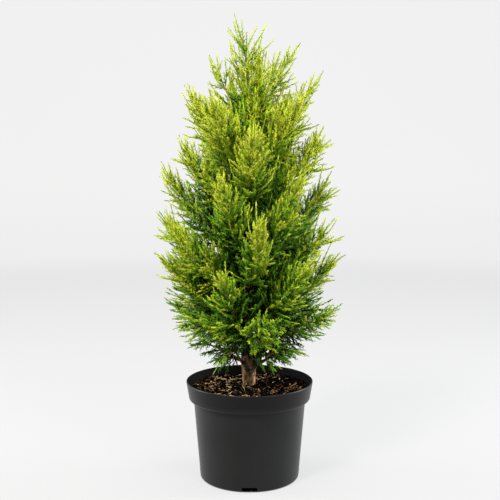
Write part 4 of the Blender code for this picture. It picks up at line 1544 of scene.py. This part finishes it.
class CYPRESS_OT_trunk(Operator):
    """Grow the trunk and its low limbs with creased bark"""

    bl_idname = "cypress.trunk"
    bl_label = "Trunk and limbs"

    # Points, and radius at the foot and at the tip
    RISER_AXIS = (12, 0.0022, 0.0010)
    LIMB_SUNK = 0.006
    # How much thinner the trunk is at its foot, and over what height
    FOOT_TAPER = (0.12, 0.02)
    # A limb's radius at its root and what it loses to its end, in root radii, and its collar
    LIMB_TAPER = (0.62, 0.24)
    LIMB_COLLAR = (0.0018, 9)

    def trunk_line(self, spacing):
        heights = np.arange(TRUNK_FOOT, TRUNK_LINE[-1][0], spacing)
        centres, radii = trunk_at(heights)
        share, height = self.FOOT_TAPER
        return centres, radii * (1 - share * np.exp(-(heights - TRUNK_FOOT) / height))

    def limb_lines(self, spacing):
        """Each limb from inside the trunk to its mass, thickened at its root, and each steep shoot."""
        lines = []
        (root, loss), (collar, fall) = self.LIMB_TAPER, self.LIMB_COLLAR
        for plan in plume_plans():
            if plan.limbed:
                bare = plan.line[: plan.limb_end + 2]
                line = np.vstack([trunk_at(bare[0][2] - self.LIMB_SUNK)[0], bare])
                shares = np.linspace(0, 1, len(line))
                radii = LIMB_ROOT_RADIUS * (root - loss * shares) + collar * np.exp(-shares * fall)
                lines.append(resampled(line, radii, spacing))
        for riser in RISERS:
            lines.append(resampled(*axis_line(np.array(riser), *self.RISER_AXIS), spacing))
        return lines

    def execute(self, context):
        settings = context.scene.cypress.bark
        tree = tube_tree(relief=True)
        bark = bark_material("young_bark", settings.pale, settings.dark, settings.moss)
        values = {"Sides": settings.sides, "Relief": settings.relief, "Material": bark}
        trunk = lines_mesh("trunk_line", [self.trunk_line(settings.spacing)])
        declare(tree.apply("trunk_bark", trunk, values), "bark", "trunk")
        values["Sides"] = settings.sides // 2
        limbs = lines_mesh("limb_lines", self.limb_lines(settings.spacing))
        declare(tree.apply("limb_bark", limbs, values), "bark", *LIMB_NODES)
        return {"FINISHED"}


class CYPRESS_OT_foliage(Operator):
    """Grow the stems, the fine twigs and the leafy sprigs of every plume"""

    bl_idname = "cypress.foliage"
    bl_label = "Foliage"

    # What is taken from a tone past the bend, as a share, and how far axes are darker and fans lighter
    BRIGHT_LOSS = 0.6
    AXIS_TONE = -0.4
    FAN_TONE = 0.3
    # Specular of the darkest tone, and what each lighter one adds
    SPECULAR = (0.04, 0.025)
    TWIGS = (("brown_stem", "#3E2A15"), ("tan_stem", "#8A6222"), ("green_twig", "#73891A"))
    # Sides of the stems, of the sprays and of the side sprays
    SIDES = (7, 4, 3)

    def add_twigs(self, growth):
        """Stems that turn from brown to tan, and green sprays and side sprays."""
        inner, outer = [], []
        for plan in growth.plans:
            shares = np.linspace(0, 1, STEM_POINTS)
            wide = min(1.0, plan.half_width / FULL_HALF_WIDTH)
            thick = LIMB_ROOT_RADIUS if plan.limbed else STEM_ROOT_RADIUS * wide
            radii = STEM_TIP_RADIUS + (thick * 0.8 - STEM_TIP_RADIUS) * (1 - shares) ** 1.5
            inner.append((plan.line[:STEM_TAN], radii[:STEM_TAN]))
            outer.append((plan.line[STEM_TAN - 1 : STEM_GREEN], radii[STEM_TAN - 1 : STEM_GREEN]))
            growth.spray_axes.append((plan.line[STEM_GREEN - 1 :], radii[STEM_GREEN - 1 :]))
        tree = tube_tree(relief=False)
        brown, tan, green = (twig_material(name, linear(colour)) for name, colour in self.TWIGS)
        stem, spray, side = self.SIDES
        for name, lines, sides, material, slot in (
            ("plume_stems", inner, stem, brown, "bark"),
            ("plume_stem_ends", outer, stem, tan, "foliage"),
            ("spray_twigs", growth.spray_axes, spray, green, "foliage"),
            ("side_twigs", growth.side_axes, side, green, "foliage"),
        ):
            values = {"Sides": sides, "Material": material}
            declare(tree.apply(name, lines_mesh(f"{name}_lines", lines), values), slot, *PLUME_NODES)

    def add_sprigs(self, growth, settings):
        """Sprigs dealt out by tone, one material for each, in pieces of no more than the most triangles."""
        points, ways, sides, sizes, tones = growth.joined_sprigs()
        rng = np.random.default_rng(settings.seed + 1)
        shapes = sprig_shapes(settings)
        faces = [len(item.data.polygons) for item in sorted(shapes.objects, key=lambda item: item.name)]
        kinds = rng.integers(0, settings.sprig_kinds, len(points))
        tones = tones + rng.normal(0, settings.tone_sprigs, len(points))
        tones -= self.BRIGHT_LOSS * np.clip(tones - settings.tone_bend, 0.0, None)
        tones = np.interp(tones, *zip(*TONE_STRETCH))
        axis_tones, fan_tones = (
            np.clip(np.round(tones + change), 0, len(TONES) - 1).astype(int)
            for change in (self.AXIS_TONE, self.FAN_TONE)
        )
        broad = np.sqrt(sizes * settings.sprig_length)
        scales = np.stack([broad, broad, sizes], 1)
        tree = sprig_tree()
        for tone, (name, colour) in enumerate(TONES):
            specular = self.SPECULAR[0] + self.SPECULAR[1] * tone
            material = foliage_material(f"{name}_scale_leaves", linear(colour), specular)
            axes, fans = np.flatnonzero(axis_tones == tone), np.flatnonzero(fan_tones == tone)
            picked = np.concatenate([axes, fans])
            picked_kinds = np.concatenate([kinds[axes], kinds[fans] + settings.sprig_kinds])
            order = np.argsort(points[picked, 2], kind="stable")
            picked, picked_kinds = picked[order], picked_kinds[order]
            run = np.cumsum(np.array(faces)[picked_kinds])
            parts = math.ceil(run[-1] / MOST_TRIANGLES) if len(run) else 0
            for part in range(parts):
                chosen = (run > part * run[-1] / parts) & (run <= (part + 1) * run[-1] / parts)
                index = picked[chosen]
                attributes = {"way": ways[index], "side": sides[index], "scale": scales[index]}
                mesh = point_mesh(f"{name}_points", points[index], kind=picked_kinds[chosen], **attributes)
                values = {"Shapes": shapes, "Material": material}
                declare(tree.apply(f"{name}_sprigs_{part + 1}", mesh, values), "foliage", *PLUME_NODES)
        clear_collection(shapes)

    def execute(self, context):
        settings = context.scene.cypress.foliage
        growth = Growth(settings)
        self.add_twigs(growth)
        self.add_sprigs(growth, settings)
        return {"FINISHED"}


class CYPRESS_OT_stage(Operator):
    """Set the studio floor and wall, the lights and the camera"""

    bl_idname = "cypress.stage"
    bl_label = "Stage"

    # name, place, size across and up, watts, colour
    LIGHTS = (
        ("key_softbox", (-0.9, -1.4, 2.1), (0.5, 0.5), 81.0, (1.0, 0.955, 0.86)),
        ("fill_softbox", (1.2, -1.5, 1.3), (0.6, 0.6), 26.0, (0.92, 0.98, 1.0)),
        ("left_strip", (-1.5, 0.25, 0.7), (0.6, 1.3), 33.0, (0.97, 1.0, 1.0)),
        ("right_strip", (1.5, 0.25, 0.7), (0.6, 1.3), 38.0, (0.97, 1.0, 1.0)),
        ("top_softbox", (0.0, -0.2, 3.2), (1.2, 1.2), 70.0, (1.0, 0.975, 0.92)),
    )
    AIM = Vector((0.0, 0.0, 0.32))
    BEND = 1.0
    SENSOR = 36.0
    CAMERA_ASIDE = 0.0007
    AIR_LIGHT = 0.06
    PAPER_GLOW = (0.992, 0.994, 1.0, 1.0)
    # Glow of the paper: (Y, strength) near the camera and by the pot
    GLOW_NEAR, GLOW_FAR = (-1.5, 0.06), (-0.1, 0.70)
    # Distances between which the shade under the pot ends
    UNDER_POT = (0.0695, 0.0735)

    def add_studio(self, settings):
        """A paper bowl that glows faintly, less towards the camera and not at all under the pot."""
        radius = settings.floor_radius
        curve = arc((radius, self.BEND), self.BEND, -90, 0, 16)
        line = [(0.0, 0.0)] + curve + [(radius + self.BEND, settings.wall_height)]
        mesh = turned_mesh("studio_bowl", line, 96)
        mesh.shade_smooth()
        paper = Finish("studio_paper", 0.9, 0.1)
        # Painted shade on the floor, greyer than the wall to even out the stronger light that falls on it
        whites = (0.0, (0.070, 0.070, 0.071, 1)), (0.05, grey(0.120)), (0.35, grey(0.150))
        paper.feed(paper.shader["Base Color"], paper.ramp(paper.height, *whites))
        (near, faint), (far, bright) = self.GLOW_NEAR, self.GLOW_FAR
        glow = paper.mapped(paper.part(paper.place, "Y"), near, far, faint, bright)
        away = paper.vector("LENGTH", paper.place, output="Value")
        glow = paper.math("MULTIPLY", glow, paper.mapped(away, *self.UNDER_POT))
        paper.shader["Emission Color"].default_value = self.PAPER_GLOW
        paper.feed(paper.shader["Emission Strength"], glow)
        mesh.materials.append(paper.material)
        add_piece("studio_bowl", mesh)

    def add_lights(self):
        for name, place, (wide, high), watts, tint in self.LIGHTS:
            light = bpy.data.lights.new(name, "AREA")
            light.shape = "RECTANGLE"
            light.size = wide
            light.size_y = high
            light.energy = watts
            light.color = tint
            lamp = add_piece(name, light)
            lamp.location = place
            lamp.rotation_euler = (self.AIM - Vector(place)).to_track_quat("-Z", "Y").to_euler()

    def add_camera(self, scene, settings):
        lens = bpy.data.cameras.new("photo_camera")
        lens.sensor_width = self.SENSOR
        lens.angle = settings.view_angle
        lens.clip_start = 0.01
        camera = add_piece("photo_camera", lens)
        camera.location = (self.CAMERA_ASIDE, -settings.distance, settings.height)
        camera.rotation_euler = (math.pi / 2 - settings.pitch, 0.0, 0.0)
        scene.camera = camera

    def execute(self, context):
        settings = context.scene.cypress.stage
        self.add_studio(settings)
        self.add_lights()
        self.add_camera(context.scene, settings)
        world = bpy.data.worlds.new("studio_air")
        world.use_nodes = True
        background = world.node_tree.nodes["Background"].inputs
        background["Color"].default_value = WHITE
        background["Strength"].default_value = self.AIR_LIGHT
        context.scene.world = world
        context.scene.view_settings.view_transform = "Standard"
        return {"FINISHED"}


# Each group of settings, with the operators that read it, in the order of the build
PARTS = {
    "pot": (CYPRESS_OT_pot,),
    "soil": (CYPRESS_OT_soil, CYPRESS_OT_litter),
    "bark": (CYPRESS_OT_trunk,),
    "foliage": (CYPRESS_OT_foliage,),
    "stage": (CYPRESS_OT_stage,),
}


class CYPRESS_PT_panel(Panel):
    """Sizes and colours of the plant, and a button for each piece"""

    bl_idname = "CYPRESS_PT_panel"
    bl_label = "Potted cypress"
    bl_space_type = "VIEW_3D"
    bl_region_type = "UI"
    bl_category = "Cypress"

    def draw(self, context):
        for part, operators in PARTS.items():
            box = self.layout.box()
            settings = getattr(context.scene.cypress, part)
            for key in settings.bl_rna.properties.keys():
                if key not in ("rna_type", "name"):
                    box.prop(settings, key)
            for operator in operators:
                box.operator(operator.bl_idname)


OPERATORS = [operator for operators in PARTS.values() for operator in operators]
SETTINGS = [PotSettings, SoilSettings, BarkSettings, FoliageSettings, StageSettings, CypressSettings]
CLASSES = [*SETTINGS, *OPERATORS, CYPRESS_PT_panel]


def register():
    for kind in CLASSES:
        bpy.utils.register_class(kind)
    bpy.types.Scene.cypress = PointerProperty(type=CypressSettings)


def unregister():
    del bpy.types.Scene.cypress
    for kind in reversed(CLASSES):
        bpy.utils.unregister_class(kind)


def main():
    register()
    bpy.ops.cypress.pot()
    bpy.ops.cypress.soil()
    bpy.ops.cypress.litter()
    bpy.ops.cypress.trunk()
    bpy.ops.cypress.foliage()
    bpy.ops.cypress.stage()


if __name__ == "__main__":
    main()
